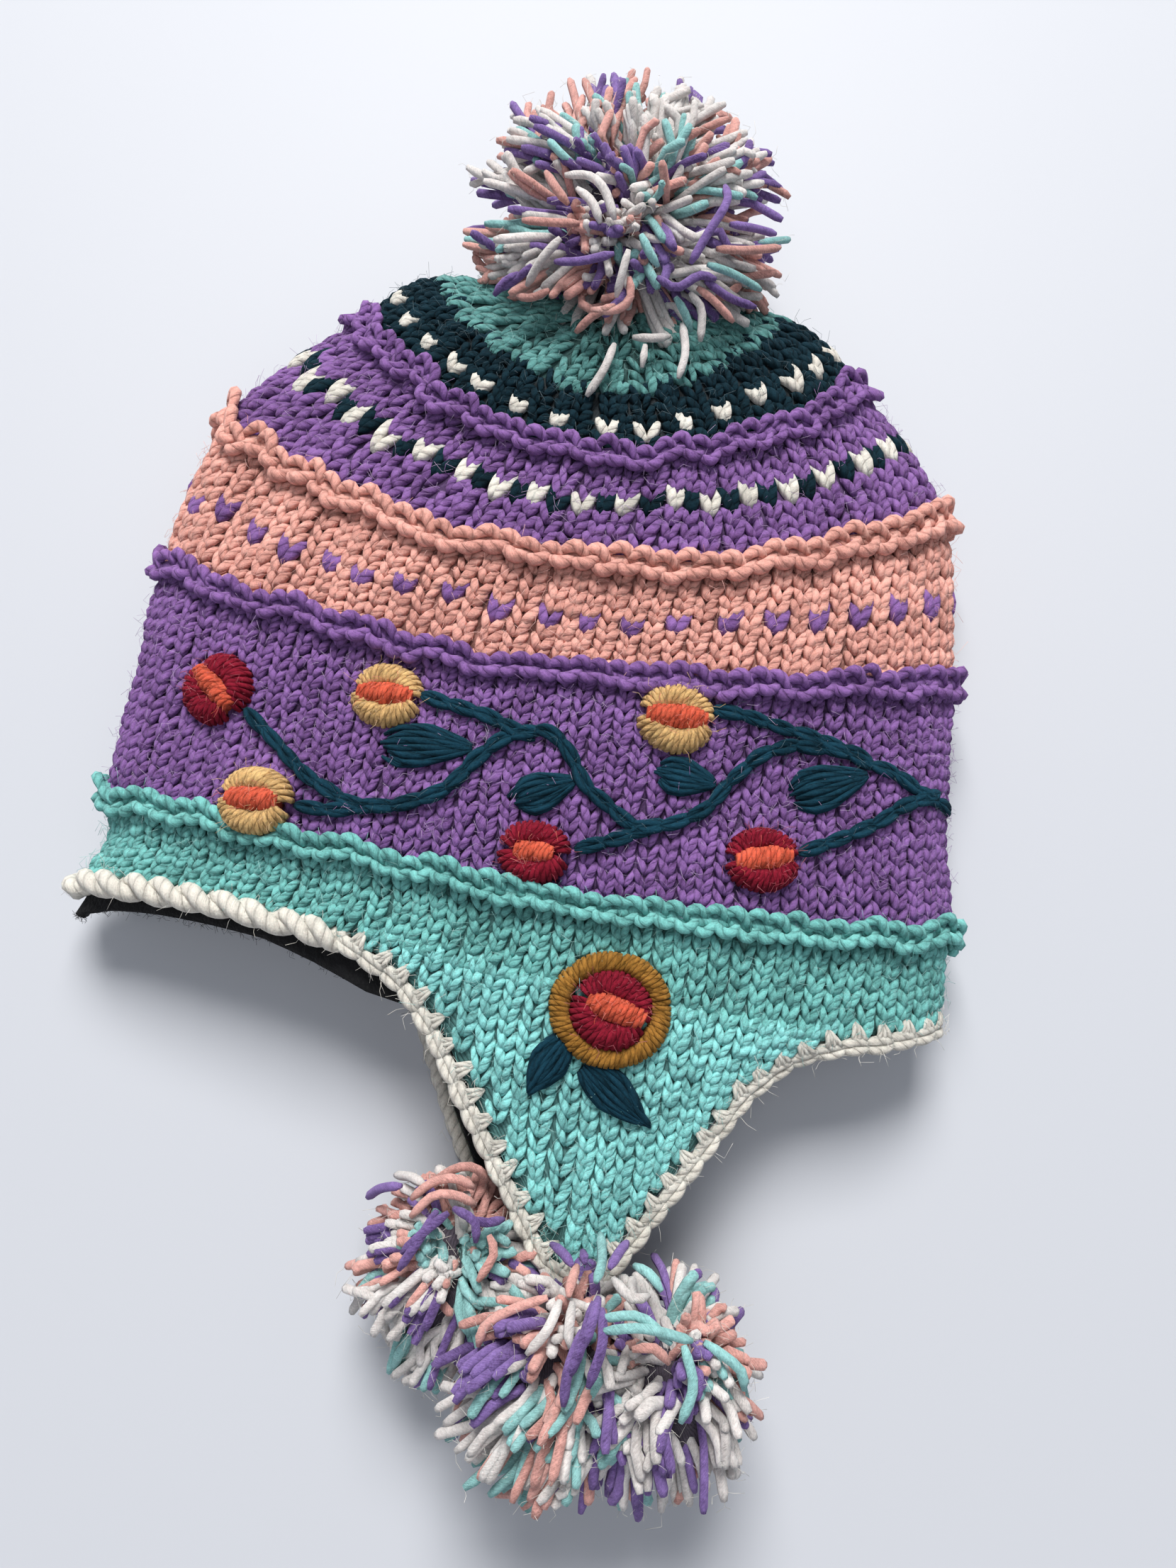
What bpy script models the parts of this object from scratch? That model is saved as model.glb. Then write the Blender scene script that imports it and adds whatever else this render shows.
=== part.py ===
"""A hand-knitted ear-flap hat with three pompoms, lying on its side as it was laid down.

Metres, +Z up. The hat lies on its far side: the crown points to +Y, the face opening to -Y.
The origin is on the resting face, below the middle of the wide lower band.
"""

import math
import random

import bmesh
import bpy
from mathutils import Vector
from mathutils.bvhtree import BVHTree

MM = 0.001

# Driving dimensions of the knitted body, as it lies
HAT_WIDTH = 252 * MM
BODY_LENGTH = 212 * MM
PUFF_HEIGHT = 50 * MM
RIM_PLACE = -77 * MM
KNIT_WALL = 4.2 * MM
CLEARANCE = 0.35 * MM
ROW_WAVE = 0.9 * MM
PUFF_WAVE = 1.1 * MM

# Welts, edging and lining
WELT_WIDTH = 4.8 * MM
WELT_PROUD = 2.8 * MM
EDGING_DIAMETER = 4.9 * MM
LINING_WALL = 2.6 * MM
LINING_LIP = 2.8 * MM

# Ear flaps
FLAP_LENGTH = 69 * MM
NEAR_TIP_PLACE = 31 * MM
NEAR_TIP_HEIGHT = 33 * MM
FAR_TIP_PLACE = 9 * MM
FAR_TIP_HEIGHT = 4 * MM
FAR_FLAP_LENGTH = 66 * MM

# Pompoms: widths in X, Y and Z, and where their middles lie
TOP_POMPOM = Vector((104, 92, 74)) * MM
NEAR_POMPOM = Vector((80, 66, 68)) * MM
FAR_POMPOM = Vector((62, 64, 50)) * MM
TOP_POMPOM_FROM_APEX = Vector((-3, 33, -8)) * MM
NEAR_POMPOM_FROM_TIP = Vector((9, -25, 1)) * MM
FAR_POMPOM_FROM_TIP = Vector((-7, -18, 19)) * MM
FAR_POMPOM_KEPT = Vector((-10, 0, -7)) * MM
POMPOM_SEAT = Vector((0.0, 0.71, 0.70))
POMPOM_SINK = 0.85 * MM
POMPOM_VALLEY = 0.80
POMPOM_LOCK_TOP = 0.58

# Embroidery, lying on the near side
FLOWER_LENGTH = 19.0 * MM
FLOWER_WIDTH = 17.0 * MM
PETAL_WIDTH = 5.2 * MM
PETAL_HEIGHT = 3.2 * MM
HEART_LENGTH = 7.6 * MM
HEART_WIDTH = 5.6 * MM
HEART_HEIGHT = 4.0 * MM
BIG_FLOWER_LENGTH = 33.0 * MM
BIG_FLOWER_WIDTH = 31.6 * MM
BIG_PETAL_WIDTH = 4.8 * MM
BIG_HEART_LENGTH = 11.6 * MM
BIG_HEART_WIDTH = 8.0 * MM
STEM_WIDTH = 5.4 * MM
STEM_HEIGHT = 2.4 * MM
LEAF_HEIGHT = 2.2 * MM

TURN_STEPS = 36
NEAR_ROOT = (4, 11)
FAR_ROOT = (25, 32)

# Rows of knitting, counted from the rim, where each colour ends or its side is pulled in
RIM_ROW = 0.0
MINT_DENT = 3.5
MINT_END = 7.5
PURPLE_DENT = 16.0
PURPLE_END = 26.0
PEACH_END = 35.5
PLUM_END = 44.0
TEAL_END = 50.0
CROWN_END = 57.0

# Sections of the body, rim to crown. along, sag, lean and far_sag are shares of BODY_LENGTH,
# half_width and sideways of half HAT_WIDTH, fold and top of PUFF_HEIGHT, skew of the sag.
SECTION_COLUMNS = (
    "row", "along", "half_width", "sideways", "fold", "top", "sag", "skew", "lean", "far_sag",
)
SECTIONS = (
    (RIM_ROW, 0.0165, 0.986, -0.010, 0.40, 0.84, 0.046, 1.50, 0.0117, 0.000),
    (MINT_DENT, 0.0750, 0.966, 0.011, 0.41, 0.88, 0.050, 0.85, 0.0130, 0.000),
    (MINT_END, 0.1420, 0.981, 0.003, 0.42, 0.92, 0.055, 0.35, 0.0140, 0.000),
    (PURPLE_DENT, 0.3040, 0.975, -0.019, 0.435, 0.95, 0.079, 0.135, 0.0137, 0.000),
    (PURPLE_END, 0.4950, 0.968, -0.021, 0.45, 0.98, 0.118, -0.08, 0.0130, 0.000),
    (PEACH_END, 0.7420, 0.904, -0.009, 0.48, 1.00, 0.210, -0.03, 0.0060, 0.006),
    (PLUM_END, 0.9250, 0.613, 0.026, 0.54, 1.00, 0.232, 0.00, 0.0070, 0.034),
    (TEAL_END, 0.9950, 0.437, 0.010, 0.62, 0.98, 0.206, 0.00, 0.0000, 0.066),
    (CROWN_END, 0.9480, 0.000, 0.045, 0.88, 0.88, 0.000, 0.00, 0.0000, 0.000),
)

# Outline of an ear flap, rim to tip: down is a share of its length, half of its half width
FLAP_OUTLINE = (
    (0.00, 1.00),
    (0.12, 0.75),
    (0.26, 0.60),
    (0.48, 0.45),
    (0.70, 0.30),
    (0.88, 0.17),
    (1.00, 0.08),
)

# Embroidery chart. Its columns are counted across from the hat's middle and its rows up from the
# rim, or down the flap where they are less than 0. These many fill the hat and the flap.
CHART_COLUMNS = 252
CHART_ROWS = 212
CHART_FLAP_ROWS = 69

# Middles of the flowers on the chart, and how far each is turned
FLOWER_COLUMNS = ("name", "x", "y", "degrees", "petals")
FLOWERS = (
    ("flower_1", -92, 62, 55, "crimson"),
    ("flower_2", -42, 65, 5, "yellow"),
    ("flower_3", -72, 31, 0, "yellow"),
    ("flower_4", 6, 27, 20, "crimson"),
    ("flower_5", 38, 68, 10, "yellow"),
    ("flower_6", 66, 34, -10, "crimson"),
)
FLAP_FLOWER = (31, -11, -25)

# Vine on the chart: the long stem, then the short stems from flower to long stem
LONG_STEM = (
    (-80, 56), (-68, 46), (-59, 39), (-47, 34), (-36, 34), (-28, 37), (-20, 42),
    (-14, 50), (-7, 57), (1, 60), (6, 59), (11, 54), (16, 47), (22, 43), (28, 39),
    (33, 38), (40, 40), (47, 44), (51, 48), (54, 53), (58, 58), (63, 63), (71, 67),
    (79, 68), (86, 68), (93, 66), (100, 65), (107, 62), (113, 60), (119, 59),
)
SHORT_STEMS = {
    "stem_2": ((-31, 66), (-22, 64), (-13, 62), (-5, 60)),
    "stem_3": ((-60, 31), (-51, 31), (-43, 32)),
    "stem_4": ((17, 30), (22, 32), (29, 35), (33, 37)),
    "stem_5": ((49, 73), (56, 73), (63, 72), (72, 71), (79, 70), (86, 68)),
    "stem_6": ((77, 38), (81, 40), (90, 45), (96, 49), (103, 55), (108, 59)),
}

# Leaves: from the end that is fast to the free end on the chart, and the width in mm
LEAF_COLUMNS = ("name", "from_x", "from_y", "to_x", "to_y", "width", "shape")
LEAVES = (
    ("leaf_1", -16, 53, -39, 51, 11.5, "blunt"),
    ("leaf_2", 13, 48, -2, 40, 10.0, "blunt"),
    ("leaf_3", 51, 53, 36, 53.5, 9.5, "blunt"),
    ("leaf_4", 93, 63, 73, 53, 12.0, "blunt"),
    ("flap_leaf_left", 20, -20, 13, -34, 9.0, "pointed"),
    ("flap_leaf_right", 26, -26, 44, -38, 9.5, "pointed"),
)
LEAF_SHAPES = {
    "blunt": ((0.0, 0.12), (0.28, 0.55), (0.58, 0.95), (0.84, 0.95), (1.0, 0.55)),
    "pointed": ((0.0, 0.45), (0.22, 0.85), (0.48, 1.0), (0.76, 0.62), (1.0, 0.12)),
}

COLOURS = {
    "mint": (0.13, 0.53, 0.45),
    "purple": (0.20, 0.09, 0.34),
    "peach": (0.70, 0.29, 0.20),
    "teal": (0.006, 0.07, 0.09),
    "cream": (0.75, 0.72, 0.65),
    "fleece": (0.012, 0.012, 0.014),
    "crimson": (0.33, 0.008, 0.03),
    "orange": (0.75, 0.11, 0.035),
    "yellow": (0.68, 0.36, 0.09),
    "ochre": (0.38, 0.17, 0.02),
}


# The body's surface

def section_slope(k, column):
    before, after = max(k - 1, 0), min(k + 1, len(SECTIONS) - 1)
    rise = SECTIONS[after][column] - SECTIONS[before][column]
    return rise / (SECTIONS[after][0] - SECTIONS[before][0])


def section_values(row):
    """The section at a row, each column on a smooth curve through the table."""
    k = 0
    while k < len(SECTIONS) - 2 and row >= SECTIONS[k + 1][0]:
        k += 1
    span = SECTIONS[k + 1][0] - SECTIONS[k][0]
    share = (row - SECTIONS[k][0]) / span
    t2, t3 = share**2, share**3
    values = {}
    for column, name in enumerate(SECTION_COLUMNS):
        here, there = SECTIONS[k][column], SECTIONS[k + 1][column]
        slope_in = section_slope(k, column) * span
        slope_out = section_slope(k + 1, column) * span
        if share < 0:
            values[name] = here + slope_in * share
            continue
        values[name] = (
            here * (2 * t3 - 3 * t2 + 1)
            + slope_in * (t3 - 2 * t2 + share)
            + there * (3 * t2 - 2 * t3)
            + slope_out * (t3 - t2)
        )
    return values


def body_point(row, turn):
    """A point of the outer surface. turn is 0 at the right fold, a quarter turn on the near side."""
    v = section_values(row)
    across, rise = math.cos(turn), math.sin(turn)
    half = HAT_WIDTH / 2
    x = half * (v["sideways"] + v["half_width"] * across)
    y = RIM_PLACE + BODY_LENGTH * (v["along"] - v["lean"] * across)
    fold, top = PUFF_HEIGHT * v["fold"], PUFF_HEIGHT * v["top"]
    waves = math.sin(math.pi * min(max(row, 0.0) / CROWN_END, 1.0))
    if rise >= 0:
        y -= BODY_LENGTH * v["sag"] * rise**1.5 * (1 + v["skew"] * across)
        y += ROW_WAVE * waves * rise * math.sin(9 * turn + 0.55 * row)
        z = fold + (top - fold) * rise**0.8
        z += PUFF_WAVE * waves * rise * math.sin(5 * turn + 0.31 * row + 1.2)
    else:
        y -= BODY_LENGTH * v["far_sag"] * abs(rise) ** 1.5
        lift = max(0.0, row - PEACH_END) / (CROWN_END - PEACH_END)
        z = max(0.0, fold * (1 - 1.12 * abs(rise) ** 0.62 * (1 - lift**2.5)))
    return Vector((x, y, z))


def body_normal(row, turn):
    inside = min(row, CROWN_END - 1.2)
    along = body_point(inside + 0.4, turn) - body_point(inside - 0.4, turn)
    around = body_point(inside, turn + 0.09) - body_point(inside, turn - 0.09)
    return along.cross(around).normalized()


def on_body(row, turn, height=0.0):
    """A point at a height over the outer surface, or inside the wall where it is negative."""
    return body_point(row, turn) + body_normal(row, turn) * height


def row_moved(row, turn, distance):
    """The row that lies a distance further toward the crown."""
    step = (body_point(row + 0.3, turn) - body_point(row - 0.3, turn)).length / 0.6
    return row + distance / step


def step_turn(k):
    return 2 * math.pi * k / TURN_STEPS


def body_ring(row, height=0.0, moved=0.0, apart=0.0):
    """A ring round the body, moved along the cloth toward the crown, or set apart straight."""
    ring = []
    for k in range(TURN_STEPS):
        turn = step_turn(k)
        way = (body_point(row + 0.3, turn) - body_point(row - 0.3, turn)).normalized()
        ring.append(on_body(row_moved(row, turn, moved), turn, height) + way * apart)
    return ring


# Building

def clear_scene():
    for old in list(bpy.data.objects):
        bpy.data.objects.remove(old)


def yarn_material(name, colour):
    material = bpy.data.materials.new(f"{name}_yarn")
    material.use_nodes = True
    shader = material.node_tree.nodes["Principled BSDF"]
    shader.inputs["Base Color"].default_value = (*COLOURS[colour], 1.0)
    shader.inputs["Roughness"].default_value = 0.9
    shader.inputs["Metallic"].default_value = 0.0
    return material


def finish(name, bm, colour):
    bmesh.ops.recalc_face_normals(bm, faces=bm.faces)
    mesh = bpy.data.meshes.new(name)
    bm.to_mesh(mesh)
    bm.free()
    piece = bpy.data.objects.new(name, mesh)
    piece.data.materials.append(yarn_material(name, colour))
    bpy.context.scene.collection.objects.link(piece)
    return piece


def bridge(bm, lower, upper):
    count = len(lower)
    for k in range(count):
        after = (k + 1) % count
        bm.faces.new((lower[k], lower[after], upper[after], upper[k]))


def end_face(bm, outer, inner):
    """The cut edge of a wall. Both walls at a seam are cut alike, so the seam stays even."""
    count = len(outer)
    for k in range(count):
        after = (k + 1) % count
        bm.faces.new((outer[k], outer[after], inner[after]))
        bm.faces.new((outer[k], inner[after], inner[k]))


def skin(name, outer, inner, colour, tips=None):
    """A closed wall between outer and inner rings. Two tips close it at the far end."""
    bm = bmesh.new()
    outer_made = [[bm.verts.new(point) for point in ring] for ring in outer]
    inner_made = [[bm.verts.new(point) for point in ring] for ring in inner]
    for made in (outer_made, inner_made):
        for lower, upper in zip(made, made[1:]):
            bridge(bm, lower, upper)
    end_face(bm, outer_made[0], inner_made[0])
    if tips is None:
        end_face(bm, outer_made[-1], inner_made[-1])
    else:
        for ring, tip in ((outer_made[-1], tips[0]), (inner_made[-1], tips[1])):
            pole = bm.verts.new(tip)
            for k, vertex in enumerate(ring):
                bm.faces.new((vertex, ring[(k + 1) % len(ring)], pole))
    return finish(name, bm, colour)


def tube(name, rings, colour, tips=None):
    """A closed piece through rings: joined into a loop, or closed by a tip at either end."""
    bm = bmesh.new()
    made = [[bm.verts.new(point) for point in ring] for ring in rings]
    for lower, upper in zip(made, made[1:]):
        bridge(bm, lower, upper)
    if tips is None:
        bridge(bm, made[-1], made[0])
    else:
        for ring, tip in ((made[0], tips[0]), (made[-1], tips[1])):
            pole = bm.verts.new(tip)
            for k, vertex in enumerate(ring):
                bm.faces.new((vertex, ring[(k + 1) % len(ring)], pole))
    return finish(name, bm, colour)


def band(name, colour, first_row, last_row, spans, welt):
    """A knitted band between two rows. A welt stands proud along its upper end."""
    gap = CLEARANCE / 2
    rows = [first_row + (last_row - first_row) * k / spans for k in range(spans + 1)]
    start = gap if first_row > RIM_ROW else 0.0
    outer = [body_ring(rows[0], apart=start)]
    outer += [body_ring(row) for row in rows[1:-1]]
    if welt:
        for share, proud in ((-1.0, 0.0), (-0.8, 0.75), (-0.45, 1.0), (-0.15, 0.6)):
            outer.append(body_ring(last_row, WELT_PROUD * proud, WELT_WIDTH * share))
    outer.append(body_ring(last_row, apart=-gap))
    inner = [body_ring(rows[0], -KNIT_WALL, apart=start)]
    inner += [body_ring(row, -KNIT_WALL) for row in rows[1:-1]]
    inner.append(body_ring(last_row, -KNIT_WALL, apart=-gap))
    return skin(name, outer, inner, colour)


def crown():
    rows = (TEAL_END, 52.0, 54.0, 55.8)
    gap = CLEARANCE / 2
    outer = [body_ring(TEAL_END, apart=gap)] + [body_ring(row) for row in rows[1:]]
    inner = [body_ring(TEAL_END, -KNIT_WALL, apart=gap)]
    inner += [body_ring(row, -KNIT_WALL) for row in rows[1:]]
    apex = body_point(CROWN_END, 0.0)
    inner_apex = apex - POMPOM_SEAT.normalized() * KNIT_WALL * 1.15
    return skin("crown_top", outer, inner, "mint", tips=(apex, inner_apex))


# Ear flaps

def flap_grid(side, height):
    """Points of a flap at a height over its outer face, rows from the rim down to the tip."""
    near = side == "near"
    first, last = NEAR_ROOT if near else FAR_ROOT
    root = [body_point(RIM_ROW, step_turn(k)) for k in range(first, last + 1)]
    root_normals = [body_normal(RIM_ROW, step_turn(k)) for k in range(first, last + 1)]
    length = FLAP_LENGTH if near else FAR_FLAP_LENGTH
    tip_x, tip_z = (NEAR_TIP_PLACE, NEAR_TIP_HEIGHT) if near else (FAR_TIP_PLACE, FAR_TIP_HEIGHT)
    middle = (root[0].x + root[-1].x) / 2
    level = sum(point.y for point in root) / len(root)
    grid = []
    for down, half in FLAP_OUTLINE:
        eased = down * down * (3 - 2 * down)
        row = []
        for point in root:
            x = middle + (tip_x - middle) * down + (point.x - middle) * half
            y = point.y + (level - point.y) * down - length * down - CLEARANCE
            z = point.z + (tip_z - point.z) * eased
            row.append(Vector((x, y, z)))
        grid.append(row)
    raised = []
    for j, row in enumerate(grid):
        raised.append([])
        for k, point in enumerate(row):
            across = row[min(k + 1, len(row) - 1)] - row[max(k - 1, 0)]
            below = grid[min(j + 1, len(grid) - 1)][k] - grid[max(j - 1, 0)][k]
            normal = across.cross(below).normalized()
            if normal.dot(root_normals[k]) < 0:
                normal.negate()
            normal = normal.lerp(root_normals[k], 1.0 if j == 0 else 0.0).normalized()
            raised[-1].append(point + normal * height)
    return raised


def slab(name, upper, lower, colour):
    """A closed slab between two grids of points of the same size."""
    bm = bmesh.new()
    faces = []
    for grid in (upper, lower):
        faces.append([[bm.verts.new(point) for point in row] for row in grid])
    for made in faces:
        for row, after in zip(made, made[1:]):
            for k in range(len(row) - 1):
                bm.faces.new((row[k], row[k + 1], after[k + 1], after[k]))
    top, bottom = (border(made) for made in faces)
    bridge(bm, top, bottom)
    return finish(name, bm, colour)


def border(grid):
    loop = list(grid[0])
    loop += [row[-1] for row in grid[1:]]
    loop += list(reversed(grid[-1][:-1]))
    loop += [row[0] for row in reversed(grid[1:-1])]
    return loop


def ear_flap(side):
    name = f"ear_flap_{side}"
    flap = slab(name, flap_grid(side, 0.0), flap_grid(side, -KNIT_WALL), "mint")
    face = -KNIT_WALL - CLEARANCE
    back = face - LINING_WALL
    slab(f"flap_lining_{side}", flap_grid(side, face), flap_grid(side, back), "fleece")
    return flap


# Lining and edging

def lining():
    """A fleece band inside the rim. Its lip shows past the edging on the left of the near side."""
    face, back = -KNIT_WALL - CLEARANCE, -KNIT_WALL - CLEARANCE - LINING_WALL
    lip = EDGING_DIAMETER + 2 * CLEARANCE + LINING_LIP
    shown = {12: 0.9, 13: 1.0, 14: 1.0, 15: 1.0, 16: 1.0, 17: 0.95, 18: 0.45}

    def edge_ring(height):
        ring = []
        for k in range(TURN_STEPS):
            row = row_moved(RIM_ROW, step_turn(k), -lip * shown.get(k, 0.0))
            ring.append(on_body(row, step_turn(k), height))
        return ring

    rows = (MINT_END / 2, MINT_END, MINT_END + (PURPLE_END - MINT_END) / 4)
    outer = [edge_ring(face)] + [body_ring(row, face) for row in rows]
    inner = [edge_ring(back)] + [body_ring(row, back) for row in rows]
    return skin("lining", outer, inner, "fleece")


def rim_outline():
    """The whole lower edge, rim and both flaps, as points of the outer face with normals."""
    grids = {side: (flap_grid(side, 0.0), flap_grid(side, -1.0)) for side in ("near", "far")}

    def flap_points(side, first_column, last_column):
        outer, inner = grids[side]
        places = [(j, first_column) for j in range(1, len(outer))]
        places += [(len(outer) - 1, 3 if first_column == 0 else 4)]
        places += [(j, last_column) for j in range(len(outer) - 1, 0, -1)]
        return [(outer[j][k], (outer[j][k] - inner[j][k]).normalized()) for j, k in places]

    def rim_points(first, last):
        turns = [step_turn(k) for k in range(first, last + 1)]
        return [(body_point(RIM_ROW, turn), body_normal(RIM_ROW, turn)) for turn in turns]

    points = rim_points(0, NEAR_ROOT[0]) + flap_points("near", 0, -1)
    points += rim_points(NEAR_ROOT[1], FAR_ROOT[0]) + flap_points("far", 0, -1)
    points += rim_points(FAR_ROOT[1], TURN_STEPS - 1)
    return points


def edging():
    radius = EDGING_DIAMETER / 2
    outline = rim_outline()
    rings = []
    for k, (point, normal) in enumerate(outline):
        before, after = outline[k - 1][0], outline[(k + 1) % len(outline)][0]
        arriving, leaving = (point - before).normalized(), (after - point).normalized()
        tangent = (arriving + leaving).normalized()
        mitre = max(tangent.dot(leaving), 0.72)
        outward = normal.cross(tangent).normalized()
        centre = point - normal * (KNIT_WALL - radius) + outward * (radius + CLEARANCE) / mitre
        ring = []
        for side in range(6):
            angle = 2 * math.pi * side / 6
            place = centre + (outward * math.cos(angle) + normal * math.sin(angle)) * radius
            place.z = max(place.z, CLEARANCE)
            ring.append(place)
        rings.append(ring)
    return tube("edging", rings, "cream")


# Pompoms

def pompom(name, middle, widths, planes, seed):
    """A ball of locks. Each plane is a point, a way and a gap: the locks stay on its far side."""
    rng = random.Random(seed)
    bm = bmesh.new()
    bmesh.ops.create_icosphere(bm, subdivisions=2, radius=1.0)
    for vertex in bm.verts:
        vertex.co *= POMPOM_VALLEY
    for face in list(bm.faces):
        corners = list(face.verts)
        centre = face.calc_center_median()
        lean = Vector((rng.uniform(-1, 1), rng.uniform(-1, 1), rng.uniform(-1, 1))) * 0.05
        reach = centre.normalized() * rng.uniform(0.90, 1.04) + lean
        top = []
        for corner in corners:
            top.append(bm.verts.new(reach + (corner.co - centre) * POMPOM_LOCK_TOP))
        bm.faces.remove(face)
        for k in range(3):
            after = (k + 1) % 3
            bm.faces.new((corners[k], corners[after], top[after], top[k]))
        bm.faces.new(top)
    for vertex in bm.verts:
        vertex.co = middle + Vector([vertex.co[i] * widths[i] / 2 for i in range(3)])
    margin = min(widths) * 0.2
    for point, direction, gap in planes:
        unit = direction.normalized()
        depths = [(vertex.co - point).dot(unit) for vertex in bm.verts]
        held = [margin * math.exp(min(depth - margin, 0.0) / margin) for depth in depths]
        least = min(held)
        for vertex, depth, kept in zip(bm.verts, depths, held):
            if depth < margin:
                pressed = gap + (kept - least) * (margin - gap) / (margin - least)
                vertex.co += unit * (pressed - depth)
    return finish(name, bm, "cream")


def pompoms(edge):
    floor = (Vector((0, 0, 0)), Vector((0, 0, 1)), 0.0)
    apex = body_point(CROWN_END, 0.0)
    seat_way = POMPOM_SEAT.normalized()
    crown_points = [point for row in (54.0, 55.8, 57.0) for point in body_ring(row)]
    highest = max((point - apex).dot(seat_way) for point in crown_points)
    seat = (apex + seat_way * (highest - POMPOM_SINK), seat_way, CLEARANCE)
    pompom("pompom_top", apex + TOP_POMPOM_FROM_APEX, TOP_POMPOM, (seat, floor), 3)
    tips = {}
    for side in ("near", "far"):
        last_row = flap_grid(side, 0.0)[-1]
        tips[side] = (last_row[3] + last_row[4]) / 2
    near = tips["near"] + NEAR_POMPOM_FROM_TIP
    far = tips["far"] + FAR_POMPOM_FROM_TIP
    between = (near + far) / 2
    apart = (near - far).normalized()
    level = FAR_TIP_HEIGHT + KNIT_WALL + LINING_WALL + CLEARANCE
    points = [vertex.co for vertex in edge.data.vertices]
    ends = {
        "near": min(point.y for point in points if point.z > level),
        "far": min(point.y for point in points if point.z < level),
    }
    for side, middle, widths, away, seed in (
        ("near", near, NEAR_POMPOM, apart, 5),
        ("far", far, FAR_POMPOM, -apart, 8),
    ):
        hung = Vector((0, ends[side], 0))
        planes = [(between, away, CLEARANCE / 2), (hung, Vector((0, -1, 0)), CLEARANCE), floor]
        if side == "far":
            kept = Vector((-1.0, -0.6, -0.6))
            planes.insert(0, (tips["near"] + FAR_POMPOM_KEPT, kept, CLEARANCE))
        pompom(f"pompom_{side}", middle, widths, planes, seed)


# Embroidery

class Cloth:
    """The near side of the knitting, to lay the embroidery on."""

    def __init__(self, pieces):
        points, faces = [], []
        for piece in pieces:
            start = len(points)
            points += [vertex.co.copy() for vertex in piece.data.vertices]
            for polygon in piece.data.polygons:
                faces.append([start + corner for corner in polygon.vertices])
        self.tree = BVHTree.FromPolygons(points, faces)

    def height(self, x, y):
        heights = []
        reach = 0.7 * MM
        for across, along in ((0, 0), (reach, 0), (-reach, 0), (0, reach), (0, -reach)):
            above = Vector((x + across, y + along, 0.2))
            found = self.tree.ray_cast(above, Vector((0, 0, -1)))[0]
            if found:
                heights.append(found.z)
        return max(heights) + CLEARANCE


PROFILE = ((-0.5, 0.0), (-0.40, 0.62), (0.0, 1.0), (0.40, 0.62), (0.5, 0.0))


def strip(name, cloth, path, widths, height, colour, closed=False):
    """A rounded strip laid on the cloth along a path of x and y."""
    rings = []
    last = len(path) - 1
    for k, place in enumerate(path):
        before = path[k - 1] if closed or k > 0 else place
        after = path[(k + 1) % len(path)] if closed or k < last else place
        way = (after - before).normalized()
        side = Vector((-way.y, way.x))
        ring = []
        for across, rise in PROFILE:
            x, y = place + side * across * widths[k]
            ring.append(Vector((x, y, cloth.height(x, y) + height * rise)))
        rings.append(ring)
    bm = bmesh.new()
    made = [[bm.verts.new(point) for point in ring] for ring in rings]
    for lower, upper in zip(made, made[1:]):
        bridge(bm, lower, upper)
    if closed:
        bridge(bm, made[-1], made[0])
    else:
        bm.faces.new(made[0])
        bm.faces.new(made[-1])
    return finish(name, bm, colour)


def petal_ring(name, cloth, middle, length, width, petal, degrees, colour):
    turn = math.radians(degrees)
    long_way = Vector((math.cos(turn), math.sin(turn)))
    short_way = Vector((-long_way.y, long_way.x))
    path = []
    for k in range(14):
        angle = 2 * math.pi * k / 14
        along = long_way * (length - petal) / 2 * math.cos(angle)
        path.append(middle + along + short_way * (width - petal) / 2 * math.sin(angle))
    return strip(name, cloth, path, [petal] * 14, PETAL_HEIGHT, colour, closed=True)


def heart(name, cloth, middle, length, width, degrees, colour):
    turn = math.radians(degrees)
    way = Vector((math.cos(turn), math.sin(turn)))
    path = [middle + way * length * share for share in (-0.5, -0.25, 0.25, 0.5)]
    widths = [width * share for share in (0.5, 0.98, 0.98, 0.5)]
    return strip(name, cloth, path, widths, HEART_HEIGHT, colour)


def distance_to(place, path):
    least = 1.0
    for start, end in zip(path, path[1:]):
        span = end - start
        share = min(max((place - start).dot(span) / span.length_squared, 0.0), 1.0)
        least = min(least, (place - start - span * share).length)
    return least


def cut_short(path, other, least):
    """The path as far as it keeps its distance from another one, in even steps."""
    kept = [path[0]]
    for start, end in zip(path, path[1:]):
        steps = max(1, round((end - start).length / (0.25 * MM)))
        for k in range(1, steps + 1):
            place = start.lerp(end, k / steps)
            if distance_to(place, other) < least:
                break
            kept.append(place)
    count = max(2, round(len(kept) * 0.25 / 6.0) + 1)
    return [kept[round((len(kept) - 1) * k / (count - 1))] for k in range(count)]


def charted(x, y):
    """A place of the embroidery chart on the hat."""
    length = BODY_LENGTH / CHART_ROWS if y >= 0 else FLAP_LENGTH / CHART_FLAP_ROWS
    return Vector((x * HAT_WIDTH / CHART_COLUMNS, RIM_PLACE + y * length))


def flat_points(pairs):
    return [charted(x, y) for x, y in pairs]


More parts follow.
